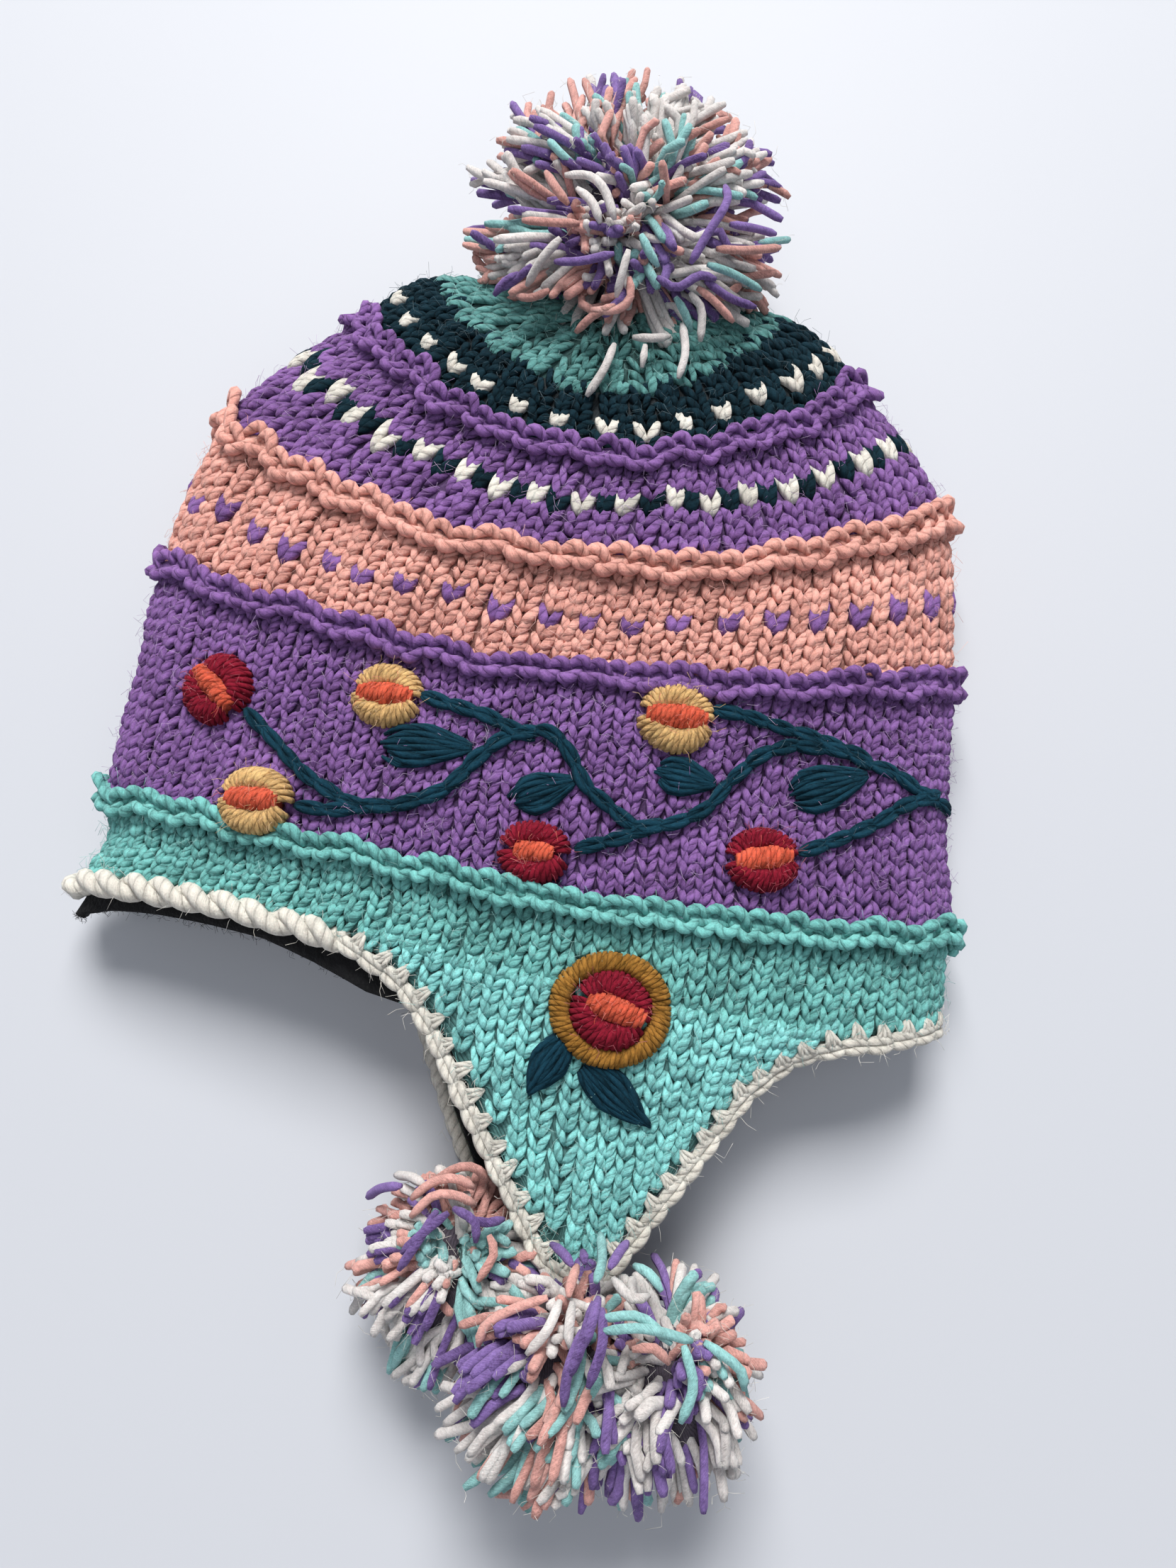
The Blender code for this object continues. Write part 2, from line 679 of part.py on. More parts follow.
def leaf(cloth, values, stems, flowers):
    row = dict(zip(LEAF_COLUMNS, values))
    start = charted(row["from_x"], row["from_y"])
    end = charted(row["to_x"], row["to_y"])
    width = row["width"] * MM
    way = (end - start).normalized()
    side = Vector((-way.y, way.x))
    shape = LEAF_SHAPES[row["shape"]]

    def is_clear():
        for share, half in shape:
            for sign in (-1, 0, 1):
                place = start.lerp(end, share) + side * sign * width * half / 2
                if any(distance_to(place, stem) < STEM_WIDTH / 2 + 0.5 * MM for stem in stems):
                    return False
                if any((place - middle).length < reach + 0.5 * MM for middle, reach in flowers):
                    return False
        return True

    while not is_clear() and (end - start).length > 4 * MM:
        start += way * 0.25 * MM
    path = [start.lerp(end, share) for share, half in shape]
    widths = [width * half for share, half in shape]
    return strip(row["name"], cloth, path, widths, LEAF_HEIGHT, "teal")


def embroidery(cloth):
    flowers = []
    for values in FLOWERS:
        row = dict(zip(FLOWER_COLUMNS, values))
        middle = charted(row["x"], row["y"])
        name, degrees = row["name"], row["degrees"]
        petal_ring(
            f"{name}_petals", cloth, middle, FLOWER_LENGTH, FLOWER_WIDTH, PETAL_WIDTH,
            degrees, row["petals"],
        )
        heart(f"{name}_heart", cloth, middle, HEART_LENGTH, HEART_WIDTH, degrees, "orange")
        flowers.append((middle, FLOWER_LENGTH / 2))
    middle = charted(*FLAP_FLOWER[:2])
    turned = FLAP_FLOWER[2]
    inner_length = BIG_FLOWER_LENGTH - 2 * (BIG_PETAL_WIDTH + CLEARANCE)
    inner_width = BIG_FLOWER_WIDTH - 2 * (BIG_PETAL_WIDTH + CLEARANCE)
    petal_ring(
        "flap_flower_outer_petals", cloth, middle, BIG_FLOWER_LENGTH, BIG_FLOWER_WIDTH,
        BIG_PETAL_WIDTH, turned, "ochre",
    )
    petal_ring(
        "flap_flower_inner_petals", cloth, middle, inner_length, inner_width,
        BIG_PETAL_WIDTH, turned, "crimson",
    )
    heart(
        "flap_flower_heart", cloth, middle, BIG_HEART_LENGTH, BIG_HEART_WIDTH, turned, "orange"
    )
    flowers.append((middle, BIG_FLOWER_LENGTH / 2))
    long_stem = flat_points(LONG_STEM)
    strip("stem_long", cloth, long_stem, [STEM_WIDTH] * len(long_stem), STEM_HEIGHT, "teal")
    stems = [long_stem]
    for name, pairs in SHORT_STEMS.items():
        path = cut_short(flat_points(pairs), long_stem, STEM_WIDTH + 0.6 * MM)
        strip(name, cloth, path, [STEM_WIDTH] * len(path), STEM_HEIGHT, "teal")
        stems.append(path)
    for values in LEAVES:
        leaf(cloth, values, stems, flowers)


def build():
    clear_scene()
    near_side = [
        band("mint_band", "mint", RIM_ROW, MINT_END, 2, True),
        band("lower_purple_band", "purple", MINT_END, PURPLE_END, 4, True),
        ear_flap("near"),
    ]
    band("peach_band", "peach", PURPLE_END, PEACH_END, 3, True)
    band("upper_purple_band", "purple", PEACH_END, PLUM_END, 3, True)
    band("teal_band", "teal", PLUM_END, TEAL_END, 3, False)
    crown()
    ear_flap("far")
    lining()
    pompoms(edging())
    embroidery(Cloth(near_side))


build()
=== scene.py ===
"""The look of the knitted ear-flap hat: every stitch, cord, strand and flower over the frame."""

import math

import bpy
import numpy as np
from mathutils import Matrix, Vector


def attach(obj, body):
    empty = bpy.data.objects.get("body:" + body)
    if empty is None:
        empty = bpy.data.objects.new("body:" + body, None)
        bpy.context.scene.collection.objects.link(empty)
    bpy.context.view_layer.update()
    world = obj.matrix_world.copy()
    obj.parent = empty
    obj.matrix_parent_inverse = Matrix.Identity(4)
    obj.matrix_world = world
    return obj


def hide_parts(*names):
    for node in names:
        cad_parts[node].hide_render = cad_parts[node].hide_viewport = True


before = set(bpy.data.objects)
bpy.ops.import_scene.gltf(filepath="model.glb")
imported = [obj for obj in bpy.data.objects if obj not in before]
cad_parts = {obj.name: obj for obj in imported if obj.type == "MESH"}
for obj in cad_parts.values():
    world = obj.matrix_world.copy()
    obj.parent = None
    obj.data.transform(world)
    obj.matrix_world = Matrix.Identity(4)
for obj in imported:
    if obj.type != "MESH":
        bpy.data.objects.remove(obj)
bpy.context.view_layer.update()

MM = 0.001
rng = np.random.default_rng(41)

# The body as it lies, in the frame's sizes. The upper bands are drawn in a few mm more
HAT_WIDTH = 252 * MM
BODY_LENGTH = 212 * MM
PUFF_HEIGHT = 50 * MM
RIM_PLACE = -77 * MM
KNIT_WALL = 4.2 * MM
CLEARANCE = 0.35 * MM
ROW_WAVE = 0.9 * MM
PUFF_WAVE = 1.1 * MM
EDGING_DIAMETER = 4.9 * MM
LINING_WALL = 2.6 * MM
LIP_SHOWING = 4.6 * MM
FLAP_LENGTH = 69 * MM
FAR_FLAP_LENGTH = 66 * MM
NEAR_TIP = (31 * MM, 33 * MM)
FAR_TIP = (9 * MM, 4 * MM)
NEAR_ROOT = (40, 110)
FAR_ROOT = (250, 320)

MINT_END, PURPLE_END, PEACH_END, PLUM_END, TEAL_END, CROWN_END = 7.5, 26.0, 35.5, 44.0, 50.0, 57.0

SECTION_COLUMNS = (
    "row", "along", "half_width", "sideways", "fold", "top", "sag", "skew", "lean", "far_sag",
)
SECTIONS = np.array((
    (0.0, 0.0165, 0.986, -0.010, 0.40, 0.84, 0.046, 1.50, 0.0117, 0.000),
    (3.5, 0.0750, 0.966, 0.011, 0.41, 0.88, 0.050, 0.85, 0.0130, 0.000),
    (MINT_END, 0.1420, 0.981, 0.003, 0.42, 0.92, 0.055, 0.35, 0.0140, 0.000),
    (16.0, 0.3040, 0.966, -0.010, 0.435, 0.95, 0.079, 0.135, 0.0137, 0.000),
    (PURPLE_END, 0.4950, 0.957, -0.011, 0.45, 0.98, 0.118, -0.08, 0.0130, 0.000),
    (PEACH_END, 0.7420, 0.882, 0.002, 0.48, 1.00, 0.210, -0.03, 0.0060, 0.006),
    (PLUM_END, 0.9250, 0.613, 0.026, 0.54, 1.00, 0.232, 0.00, 0.0070, 0.034),
    (TEAL_END, 0.9950, 0.437, 0.010, 0.62, 0.98, 0.206, 0.00, 0.0000, 0.066),
    (CROWN_END, 0.9480, 0.000, 0.045, 0.88, 0.88, 0.000, 0.00, 0.0000, 0.000),
))
FLAP_OUTLINE = np.array((
    (0.00, 1.00), (0.12, 0.75), (0.26, 0.60), (0.48, 0.45), (0.70, 0.30), (0.88, 0.17),
    (1.00, 0.08),
))
FAR_FLAP_OUTLINE = np.array((
    (0.00, 1.00), (0.12, 0.79), (0.26, 0.66), (0.48, 0.49), (0.70, 0.33), (0.88, 0.18),
    (1.00, 0.09),
))

# Yarn colours, linear
MINT = (0.180, 0.530, 0.500)
PURPLE = (0.228, 0.100, 0.335)
PEACH = (0.880, 0.400, 0.330)
# Dark teal yarn, darkened further: partly its own colour, partly painted shade for the top pompom's
# shadow over the teal band. The upper purple band's dots take the same colour.
TEAL = (0.002, 0.020, 0.032)
LEAF_TEAL = (0.003, 0.042, 0.072)
CREAM = (0.780, 0.735, 0.655)
CRIMSON = (0.250, 0.004, 0.022)
CORAL = (0.760, 0.115, 0.055)
YELLOW = (0.760, 0.460, 0.185)
OCHRE = (0.380, 0.175, 0.025)
VIOLET = (0.205, 0.115, 0.370)
SALMON = (0.800, 0.400, 0.350)
AQUA = (0.300, 0.600, 0.590)
STRAND_WHITE = (0.800, 0.745, 0.720)
# The flaps' mint is the bands' mint wool painted lighter: painted light, for the stronger light that
# falls on the flaps.
FLAP_MINT_PAINTED_LIGHT = (0.265, 0.700, 0.680)
# The crown's mint is the bands' mint wool painted darker: painted shade, for the shadow the top pompom
# casts on the crown.
CROWN_MINT_PAINTED_SHADE = (0.100, 0.300, 0.285)


# Surfaces

def section_values(rows):
    """Each column of the sections at an array of rows, on a smooth curve through the table."""
    places = SECTIONS[:, 0]
    k = np.clip(np.searchsorted(places, rows, side="right") - 1, 0, len(places) - 2)
    span = places[k + 1] - places[k]
    share = (rows - places[k]) / span
    t2, t3 = share**2, share**3
    before = np.maximum(np.arange(len(places)) - 1, 0)
    after = np.minimum(np.arange(len(places)) + 1, len(places) - 1)
    values = {}
    for column, name in enumerate(SECTION_COLUMNS):
        table = SECTIONS[:, column]
        slopes = (table[after] - table[before]) / (places[after] - places[before])
        slope_in, slope_out = slopes[k] * span, slopes[k + 1] * span
        smooth = (
            table[k] * (2 * t3 - 3 * t2 + 1) + slope_in * (t3 - 2 * t2 + share)
            + table[k + 1] * (3 * t2 - 2 * t3) + slope_out * (t3 - t2)
        )
        values[name] = np.where(share < 0, table[k] + slope_in * share, smooth)
    return values


def body_points(rows, turns):
    """Points of the outer face at rows and at turns in radians: 0 is the right fold, pi the left."""
    rows, turns = np.broadcast_arrays(rows, turns)
    v = section_values(rows)
    across, rise = np.cos(turns), np.sin(turns)
    near, far = np.maximum(rise, 0.0), np.maximum(-rise, 0.0)
    waves = np.sin(math.pi * np.clip(rows / CROWN_END, 0.0, 1.0))
    x = HAT_WIDTH / 2 * (v["sideways"] + v["half_width"] * across)
    y = RIM_PLACE + BODY_LENGTH * (v["along"] - v["lean"] * across)
    y = y - BODY_LENGTH * v["sag"] * near**1.5 * (1 + v["skew"] * across)
    y = y + ROW_WAVE * waves * near * np.sin(9 * turns + 0.55 * rows)
    y = y - BODY_LENGTH * v["far_sag"] * far**1.5
    fold, top = PUFF_HEIGHT * v["fold"], PUFF_HEIGHT * v["top"]
    z_near = fold + (top - fold) * near**0.8
    z_near = z_near + PUFF_WAVE * waves * near * np.sin(5 * turns + 0.31 * rows + 1.2)
    lift = np.clip((rows - PEACH_END) / (CROWN_END - PEACH_END), 0.0, 1.0)
    z_far = np.maximum(0.0, fold * (1 - 1.12 * far**0.62 * (1 - lift**2.5)))
    return np.stack([x, y, np.where(rise >= 0, z_near, z_far)], axis=-1)


def unit(v):
    return v / np.maximum(np.linalg.norm(v, axis=-1, keepdims=True), 1e-12)


class Surface:
    """A grid of points and normals over two coordinates, read between its lines."""

    def __init__(self, points, normals, first, last, round_about):
        self.points, self.normals = points, normals
        self.first, self.last, self.round_about = first, last, round_about

    def read(self, grid, u, v):
        high, wide = grid.shape[:2]
        a = np.clip((u - self.first) / (self.last - self.first), 0, 1) * (high - 1)
        i = np.clip(np.floor(a).astype(int), 0, high - 2)
        if self.round_about:
            b = (v % 1.0) * wide
            j = np.floor(b).astype(int) % wide
            after = (j + 1) % wide
            b = b - np.floor(b)
        else:
            b = np.clip(v, 0, 1) * (wide - 1)
            j = np.clip(np.floor(b).astype(int), 0, wide - 2)
            after = j + 1
            b = b - j
        a, b = (a - i)[..., None], b[..., None]
        low = grid[i, j] * (1 - b) + grid[i, after] * b
        up = grid[i + 1, j] * (1 - b) + grid[i + 1, after] * b
        return low * (1 - a) + up * a

    def lay(self, u, v, height):
        u, v, height = np.broadcast_arrays(u, v, height)
        normal = unit(self.read(self.normals, u, v))
        return self.read(self.points, u, v) + normal * height[..., None], normal


def make_body():
    """The outer face as a grid, even round each row."""
    rows = np.linspace(-4.0, CROWN_END, 245)
    turns = np.linspace(0, 2 * math.pi, 1441)
    fine = body_points(rows[:, None], turns[None, :])
    wide = 480
    points = np.empty((len(rows), wide, 3))
    for k in range(len(rows)):
        steps = np.linalg.norm(np.diff(fine[k], axis=0), axis=1)
        run = np.concatenate([[0], np.cumsum(steps)])
        if run[-1] < 1e-6:
            points[k] = fine[k][0]
            continue
        even = np.linspace(0, run[-1], wide, endpoint=False)
        for axis in range(3):
            points[k, :, axis] = np.interp(even, run, fine[k][:, axis])
    along = np.gradient(points, axis=0)
    around = np.roll(points, -1, axis=1) - np.roll(points, 1, axis=1)
    normals = unit(np.cross(along, around))
    normals[-6:] = normals[-7]
    return Surface(points, normals, rows[0], rows[-1], True)


BODY = make_body()


def flap_surface(side):
    """A flap: its first coordinate runs down from rim to tip, its second across the outline."""
    near = side == "near"
    first, last = NEAR_ROOT if near else FAR_ROOT
    degrees = np.linspace(first, last, 61)
    root = body_points(np.zeros(61), np.radians(degrees))
    length = FLAP_LENGTH if near else FAR_FLAP_LENGTH
    tip_x, tip_z = NEAR_TIP if near else FAR_TIP
    down = np.linspace(0, 1, 49)[:, None]
    outline = FLAP_OUTLINE if near else FAR_FLAP_OUTLINE
    half = np.interp(down, outline[:, 0], outline[:, 1])
    half = np.concatenate([half[:1], (half[:-2] + half[1:-1] * 2 + half[2:]) / 4, half[-1:]])
    middle = (root[0, 0] + root[-1, 0]) / 2
    x = middle + (tip_x - middle) * down + (root[None, :, 0] - middle) * half
    y = root[None, :, 1] + (root[:, 1].mean() - root[None, :, 1]) * down
    y = y - length * down - CLEARANCE
    eased = down * down * (3 - 2 * down)
    z = root[None, :, 2] + (tip_z - root[None, :, 2]) * eased
    if near:
        z = z + 0.8 * MM * np.sin(down * 9 + 0.6) * np.sin(np.linspace(0, math.pi, 61))[None, :]
    points = np.stack([x, y, z], axis=-1)
    normals = unit(np.cross(np.gradient(points, axis=0), np.gradient(points, axis=1)))
    if (normals[24, 30, 2] > 0) != near:
        normals = -normals
    return Surface(points, normals, 0.0, 1.0, False)


FLAPS = {side: flap_surface(side) for side in ("near", "far")}

near_cells = BODY.points[20::2, :240:2].reshape(-1, 3)
near_normals = BODY.normals[20::2, :240:2].reshape(-1, 3)
flap_cells = FLAPS["near"].points.reshape(-1, 3)
flap_normals = FLAPS["near"].normals.reshape(-1, 3)
TOP_POINTS = np.concatenate([near_cells, flap_cells])
TOP_NORMALS = np.concatenate([near_normals, flap_normals])


def on_top(places, height):
    """Points at a height over the near side for an array of x and y, and the normals there."""
    places = np.asarray(places, dtype=float)
    flat = places.reshape(-1, 2)
    height = np.broadcast_to(height, places.shape[:-1]).reshape(-1)
    points, normals = np.empty((len(flat), 3)), np.empty((len(flat), 3))
    for start in range(0, len(flat), 400):
        part = flat[start:start + 400]
        apart = ((TOP_POINTS[None, :, :2] - part[:, None, :]) ** 2).sum(-1)
        weight = np.exp(-apart / (2.2 * MM) ** 2) + 1e-12
        weight /= weight.sum(1, keepdims=True)
        normals[start:start + 400] = unit(weight @ TOP_NORMALS)
        points[start:start + 400, 2] = weight @ TOP_POINTS[:, 2]
        points[start:start + 400, :2] = part
    points += normals * height[:, None]
    return points.reshape(*places.shape[:-1], 3), normals.reshape(*places.shape[:-1], 3)


# Meshes of yarn

HAIR_RADIUS = 0.050 * MM
HAIR_LENGTH = 4.2 * MM


class Yarn:
    """Collects tubes of yarn and closed skins, then makes one mesh of them."""

    def __init__(self, name):
        self.name = name
        self.points, self.shades = [], []
        self.loops, self.starts, self.materials, self.uvs = [], [], [], []
        self.count, self.loop_count = 0, 0

    def add_faces(self, faces, uv, material):
        """faces is an array with a row of corners each, uv has two numbers for each corner."""
        corners = faces.shape[1]
        self.loops.append(faces.reshape(-1) + self.count)
        self.starts.append(self.loop_count + np.arange(len(faces)) * corners)
        self.materials.append(np.broadcast_to(material, len(faces)))
        self.uvs.append(uv.reshape(-1, 2))
        self.loop_count += faces.size

    def add_points(self, points, shades):
        flat = points.reshape(-1, 3).copy()
        flat[:, 2] = np.maximum(flat[:, 2], 0.2 * MM)
        self.points.append(flat)
        self.shades.append(shades.reshape(-1))
        self.count += len(flat)

    def tubes(self, paths, radii, ups, sides=6, shade=None, material=0, flat=1.0):
        """Tubes along paths of shape (tubes, points, 3), closed at both ends."""
        tubes, steps = paths.shape[:2]
        radii = np.broadcast_to(radii, (tubes, steps))
        way = unit(np.gradient(paths, axis=1))
        side = unit(np.cross(way, np.broadcast_to(ups, paths.shape)))
        up = np.cross(side, way)
        angle = -math.pi / 2 + 2 * math.pi * np.arange(sides) / sides
        ring = (
            np.cos(angle)[None, None, :, None] * side[:, :, None, :]
            + flat * np.sin(angle)[None, None, :, None] * up[:, :, None, :]
        )
        points = paths[:, :, None, :] + radii[:, :, None, None] * ring
        if shade is None:
            shade = rng.uniform(-1, 1, tubes)
        shades = np.broadcast_to(shade[:, None, None], (tubes, steps, sides))
        ids = np.arange(tubes * steps * sides).reshape(tubes, steps, sides)
        after = np.roll(ids, -1, axis=2)
        quads = np.stack([ids[:, :-1], ids[:, 1:], after[:, 1:], after[:, :-1]], axis=-1)
        run = np.linalg.norm(np.diff(paths, axis=1), axis=2)
        run = np.concatenate([np.zeros((tubes, 1)), np.cumsum(run, axis=1)], axis=1) / MM
        run = run + rng.uniform(0, 60, tubes)[:, None]
        u = np.arange(sides) / sides
        low = np.broadcast_to(run[:, :-1, None], quads.shape[:3])
        high = np.broadcast_to(run[:, 1:, None], quads.shape[:3])
        left = np.broadcast_to(u[None, None, :], quads.shape[:3])
        right = left + 1 / sides
        uv = np.stack([
            np.stack([left, low], -1), np.stack([left, high], -1),
            np.stack([right, high], -1), np.stack([right, low], -1),
        ], axis=3)
        each = np.broadcast_to(np.asarray(material), tubes)
        faces = (steps - 1) * sides
        self.add_faces(quads.reshape(-1, 4), uv, np.repeat(each, faces))
        for cap, place in ((ids[:, 0], 0), (ids[:, -1][:, ::-1], -1)):
            cap_uv = np.stack(np.broadcast_arrays(u[None, :], run[:, place, None]), -1)
            self.add_faces(cap, cap_uv, each)
        self.add_points(points, shades)

    def hairs(self, points, normals, length, material):
        """Curled single fibres, each with one end in the wool."""
        count = len(points)
        t = np.linspace(0, 1, 3)[None, :, None]
        tangent = unit(np.cross(normals, rng.normal(0, 1, (count, 3))))
        way = unit(tangent + normals * rng.uniform(0.05, 0.8, (count, 1)))
        curl = np.cross(way, unit(rng.normal(0, 1, (count, 3)))) * rng.uniform(0.1, 0.55, (count, 1))
        size = length * rng.uniform(0.45, 1.5, count)[:, None, None]
        paths = points[:, None, :] + size * way[:, None, :] * t
        paths = paths + size * curl[:, None, :] * np.sin(t * 3.4)
        self.tubes(paths, HAIR_RADIUS, np.broadcast_to(normals[:, None, :], paths.shape), 3,
                   material=material)

    def skin(self, outer, inner, material=0):
        """A closed wall between two grids of points, (rows, columns, 3). Columns run round."""
        rows, columns = outer.shape[:2]
        ids = np.arange(rows * columns).reshape(rows, columns)
        other = ids + rows * columns
        after, other_after = np.roll(ids, -1, axis=1), np.roll(other, -1, axis=1)
        faces = [
            np.stack([ids[:-1], ids[1:], after[1:], after[:-1]], -1).reshape(-1, 4),
            np.stack([other[:-1], other_after[:-1], other_after[1:], other[1:]], -1).reshape(-1, 4),
            np.stack([ids[0], after[0], other_after[0], other[0]], -1),
            np.stack([ids[-1], other[-1], other_after[-1], after[-1]], -1),
        ]
        for part in faces:
            uv = np.zeros((*part.shape, 2))
            uv[..., 0] = (part % columns) / columns * 40
            uv[..., 1] = (part // columns) * 2.0
            self.add_faces(part, uv, material)
        self.add_points(np.stack([outer, inner]), np.zeros((2, rows, columns)))

    def build(self, materials, node, stands_for=()):
        mesh = bpy.data.meshes.new(self.name)
        points = np.concatenate(self.points)
        loops = np.concatenate(self.loops)
        starts = np.concatenate(self.starts)
        mesh.vertices.add(len(points))
        mesh.vertices.foreach_set("co", points.reshape(-1))
        mesh.loops.add(len(loops))
        mesh.loops.foreach_set("vertex_index", loops.astype(np.int32))
        mesh.polygons.add(len(starts))
        mesh.polygons.foreach_set("loop_start", starts.astype(np.int32))
        mesh.polygons.foreach_set("material_index", np.concatenate(self.materials).astype(np.int32))
        mesh.polygons.foreach_set("use_smooth", np.ones(len(starts), dtype=bool))
        layer = mesh.uv_layers.new(name="yarn")
        layer.data.foreach_set("uv", np.concatenate(self.uvs).reshape(-1))
        attribute = mesh.attributes.new("shade", "FLOAT", "POINT")
        attribute.data.foreach_set("value", np.concatenate(self.shades))
        mesh.update(calc_edges=True)
        mesh.validate()
        piece = bpy.data.objects.new(self.name, mesh)
        bpy.context.scene.collection.objects.link(piece)
        for material in materials:
            mesh.materials.append(material)
        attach(piece, "root")
        if stands_for:
            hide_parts(*stands_for)
        return piece


# Materials

def new_material(name):
    material = bpy.data.materials.new(name)
    material.use_nodes = True
    tree = material.node_tree
    shader = tree.nodes["Principled BSDF"]
    return material, tree, shader


def link(tree, source, target):
    tree.links.new(source, target)


def math_node(tree, operation, first, second=None):
    node = tree.nodes.new("ShaderNodeMath")
    node.operation = operation
    for socket, value in zip(node.inputs, (first, second)):
        if value is None:
            continue
        if isinstance(value, (int, float)):
            socket.default_value = value
        else:
            tree.links.new(value, socket)
    return node.outputs[0]


def noise_node(tree, vector, scale, detail, roughness=0.6):
    node = tree.nodes.new("ShaderNodeTexNoise")
    node.inputs["Scale"].default_value = scale
    node.inputs["Detail"].default_value = detail
    node.inputs["Roughness"].default_value = roughness
    link(tree, vector, node.inputs["Vector"])
    return node.outputs["Fac"]


def make_spun_yarn():
    """A node group: twisted plies with painted shade in the grooves between them, fibres along the yarn,
    lint and mottled dye.
    """
    tree = bpy.data.node_groups.new("spun_yarn", "ShaderNodeTree")
    for name, value in (("Twist", 0.15), ("Groove Shade", 0.6), ("Streaks", 1.6), ("Relief", 1.0)):
        socket = tree.interface.new_socket(name=name, in_out="INPUT", socket_type="NodeSocketFloat")
        socket.default_value = value
    for name in ("Tone", "Height"):
        tree.interface.new_socket(name=name, in_out="OUTPUT", socket_type="NodeSocketFloat")
    inputs = tree.nodes.new("NodeGroupInput").outputs
    outputs = tree.nodes.new("NodeGroupOutput").inputs
    uv = tree.nodes.new("ShaderNodeUVMap")
    uv.uv_map = "yarn"
    parts = tree.nodes.new("ShaderNodeSeparateXYZ")
    link(tree, uv.outputs["UV"], parts.inputs[0])
    along_yarn = parts.outputs[1]
    twisted = math_node(tree, "MULTIPLY", along_yarn, inputs["Twist"])
    slanted = math_node(tree, "ADD", parts.outputs[0], twisted)
    wave = math_node(tree, "SINE", math_node(tree, "MULTIPLY", slanted, 2 * math.pi))
    ply = math_node(tree, "POWER", math_node(tree, "ABSOLUTE", wave), 0.55)
    spun = tree.nodes.new("ShaderNodeCombineXYZ")
    link(tree, math_node(tree, "MULTIPLY", slanted, 13.0), spun.inputs[0])
    link(tree, math_node(tree, "MULTIPLY", along_yarn, 0.38), spun.inputs[1])
    fibres = noise_node(tree, spun.outputs[0], 1.7, 4.0, 0.72)
    place = tree.nodes.new("ShaderNodeTexCoord").outputs["Object"]
    lint = noise_node(tree, place, 1500.0, 3.0, 0.7)
    mottle = noise_node(tree, place, 340.0, 3.0)
    broad = noise_node(tree, place, 60.0, 3.0)
    shade = tree.nodes.new("ShaderNodeAttribute")
    shade.attribute_name = "shade"

    def weighed(value, weight, middle=0.5):
        return math_node(tree, "MULTIPLY", math_node(tree, "SUBTRACT", value, middle), weight)

    total = weighed(fibres, inputs["Streaks"])
    for part in (weighed(lint, 1.1), weighed(mottle, 0.8), weighed(broad, 0.8),
                 # The ply term darkens the tone in the grooves between the plies: painted shade.
                 weighed(ply, inputs["Groove Shade"], 0.75), weighed(shade.outputs["Fac"], 0.20, 0.0)):
        total = math_node(tree, "ADD", total, part)
    link(tree, math_node(tree, "ADD", total, 0.5), outputs["Tone"])
    relief = math_node(tree, "ADD", math_node(tree, "MULTIPLY", fibres, 0.7),
                       math_node(tree, "MULTIPLY", ply, inputs["Relief"]))
    relief = math_node(tree, "ADD", relief, math_node(tree, "MULTIPLY", lint, 0.35))
    link(tree, relief, outputs["Height"])
    return tree


SPUN_YARN = make_spun_yarn()


def wool(name, colour, contrast=0.30, twist=0.15, haze=1.0, ply=1.0):
    """Matt two-ply wool with painted shade in the hollows between its plies, and a painted pale sheen at
    grazing angles for the haze of fibres.
    """
    material, tree, shader = new_material(name)
    nodes = tree.nodes
    spun = nodes.new("ShaderNodeGroup")
    spun.node_tree = SPUN_YARN
    spun.inputs["Twist"].default_value = twist
    # ply sets both the painted shade in the ply grooves and the real bump of the plies.
    spun.inputs["Groove Shade"].default_value = 0.6 * ply
    spun.inputs["Relief"].default_value = ply
    ramp = nodes.new("ShaderNodeValToRGB")
    dark = [c * (1 - min(0.85, contrast * 1.9)) for c in colour]
    pale = [min(1.0, c * (1 + contrast * 0.75) + 0.12 * contrast * haze) for c in colour]
    ramp.color_ramp.elements[0].color = (*dark, 1)
    ramp.color_ramp.elements[1].color = (*pale, 1)
    link(tree, spun.outputs["Tone"], ramp.inputs["Fac"])
    # Painted sheen: the colour turns paler where the surface is seen edge-on, for light caught in the
    # haze of fibres. haze sets this painted sheen, the pale end of the ramp and the shader's own sheen.
    facing = nodes.new("ShaderNodeLayerWeight")
    facing.inputs["Blend"].default_value = 0.35
    mixed = nodes.new("ShaderNodeMix")
    mixed.data_type = "RGBA"
    painted_rim_sheen = [min(1.0, c * 0.85 + 0.06 * haze) for c in colour]
    mixed.inputs["B"].default_value = (*painted_rim_sheen, 1)
    link(tree, ramp.outputs["Color"], mixed.inputs["A"])
    link(tree, math_node(tree, "MULTIPLY", facing.outputs["Facing"], 0.40), mixed.inputs["Factor"])
    link(tree, mixed.outputs["Result"], shader.inputs["Base Color"])
    bump = nodes.new("ShaderNodeBump")
    bump.inputs["Strength"].default_value = 1.0
    bump.inputs["Distance"].default_value = 0.0007
    link(tree, spun.outputs["Height"], bump.inputs["Height"])
    link(tree, bump.outputs["Normal"], shader.inputs["Normal"])
    shader.inputs["Roughness"].default_value = 0.95
    shader.inputs["Specular IOR Level"].default_value = 0.12
    shader.inputs["Subsurface Weight"].default_value = 0.35
    shader.inputs["Subsurface Radius"].default_value = (1.0, 0.8, 0.8)
    shader.inputs["Subsurface Scale"].default_value = 0.0012
    shader.inputs["Sheen Weight"].default_value = 0.22 * haze
    shader.inputs["Sheen Roughness"].default_value = 0.5
    shader.inputs["Sheen Tint"].default_value = (*[min(1.0, c * 1.2 + 0.12) for c in colour], 1)
    return material


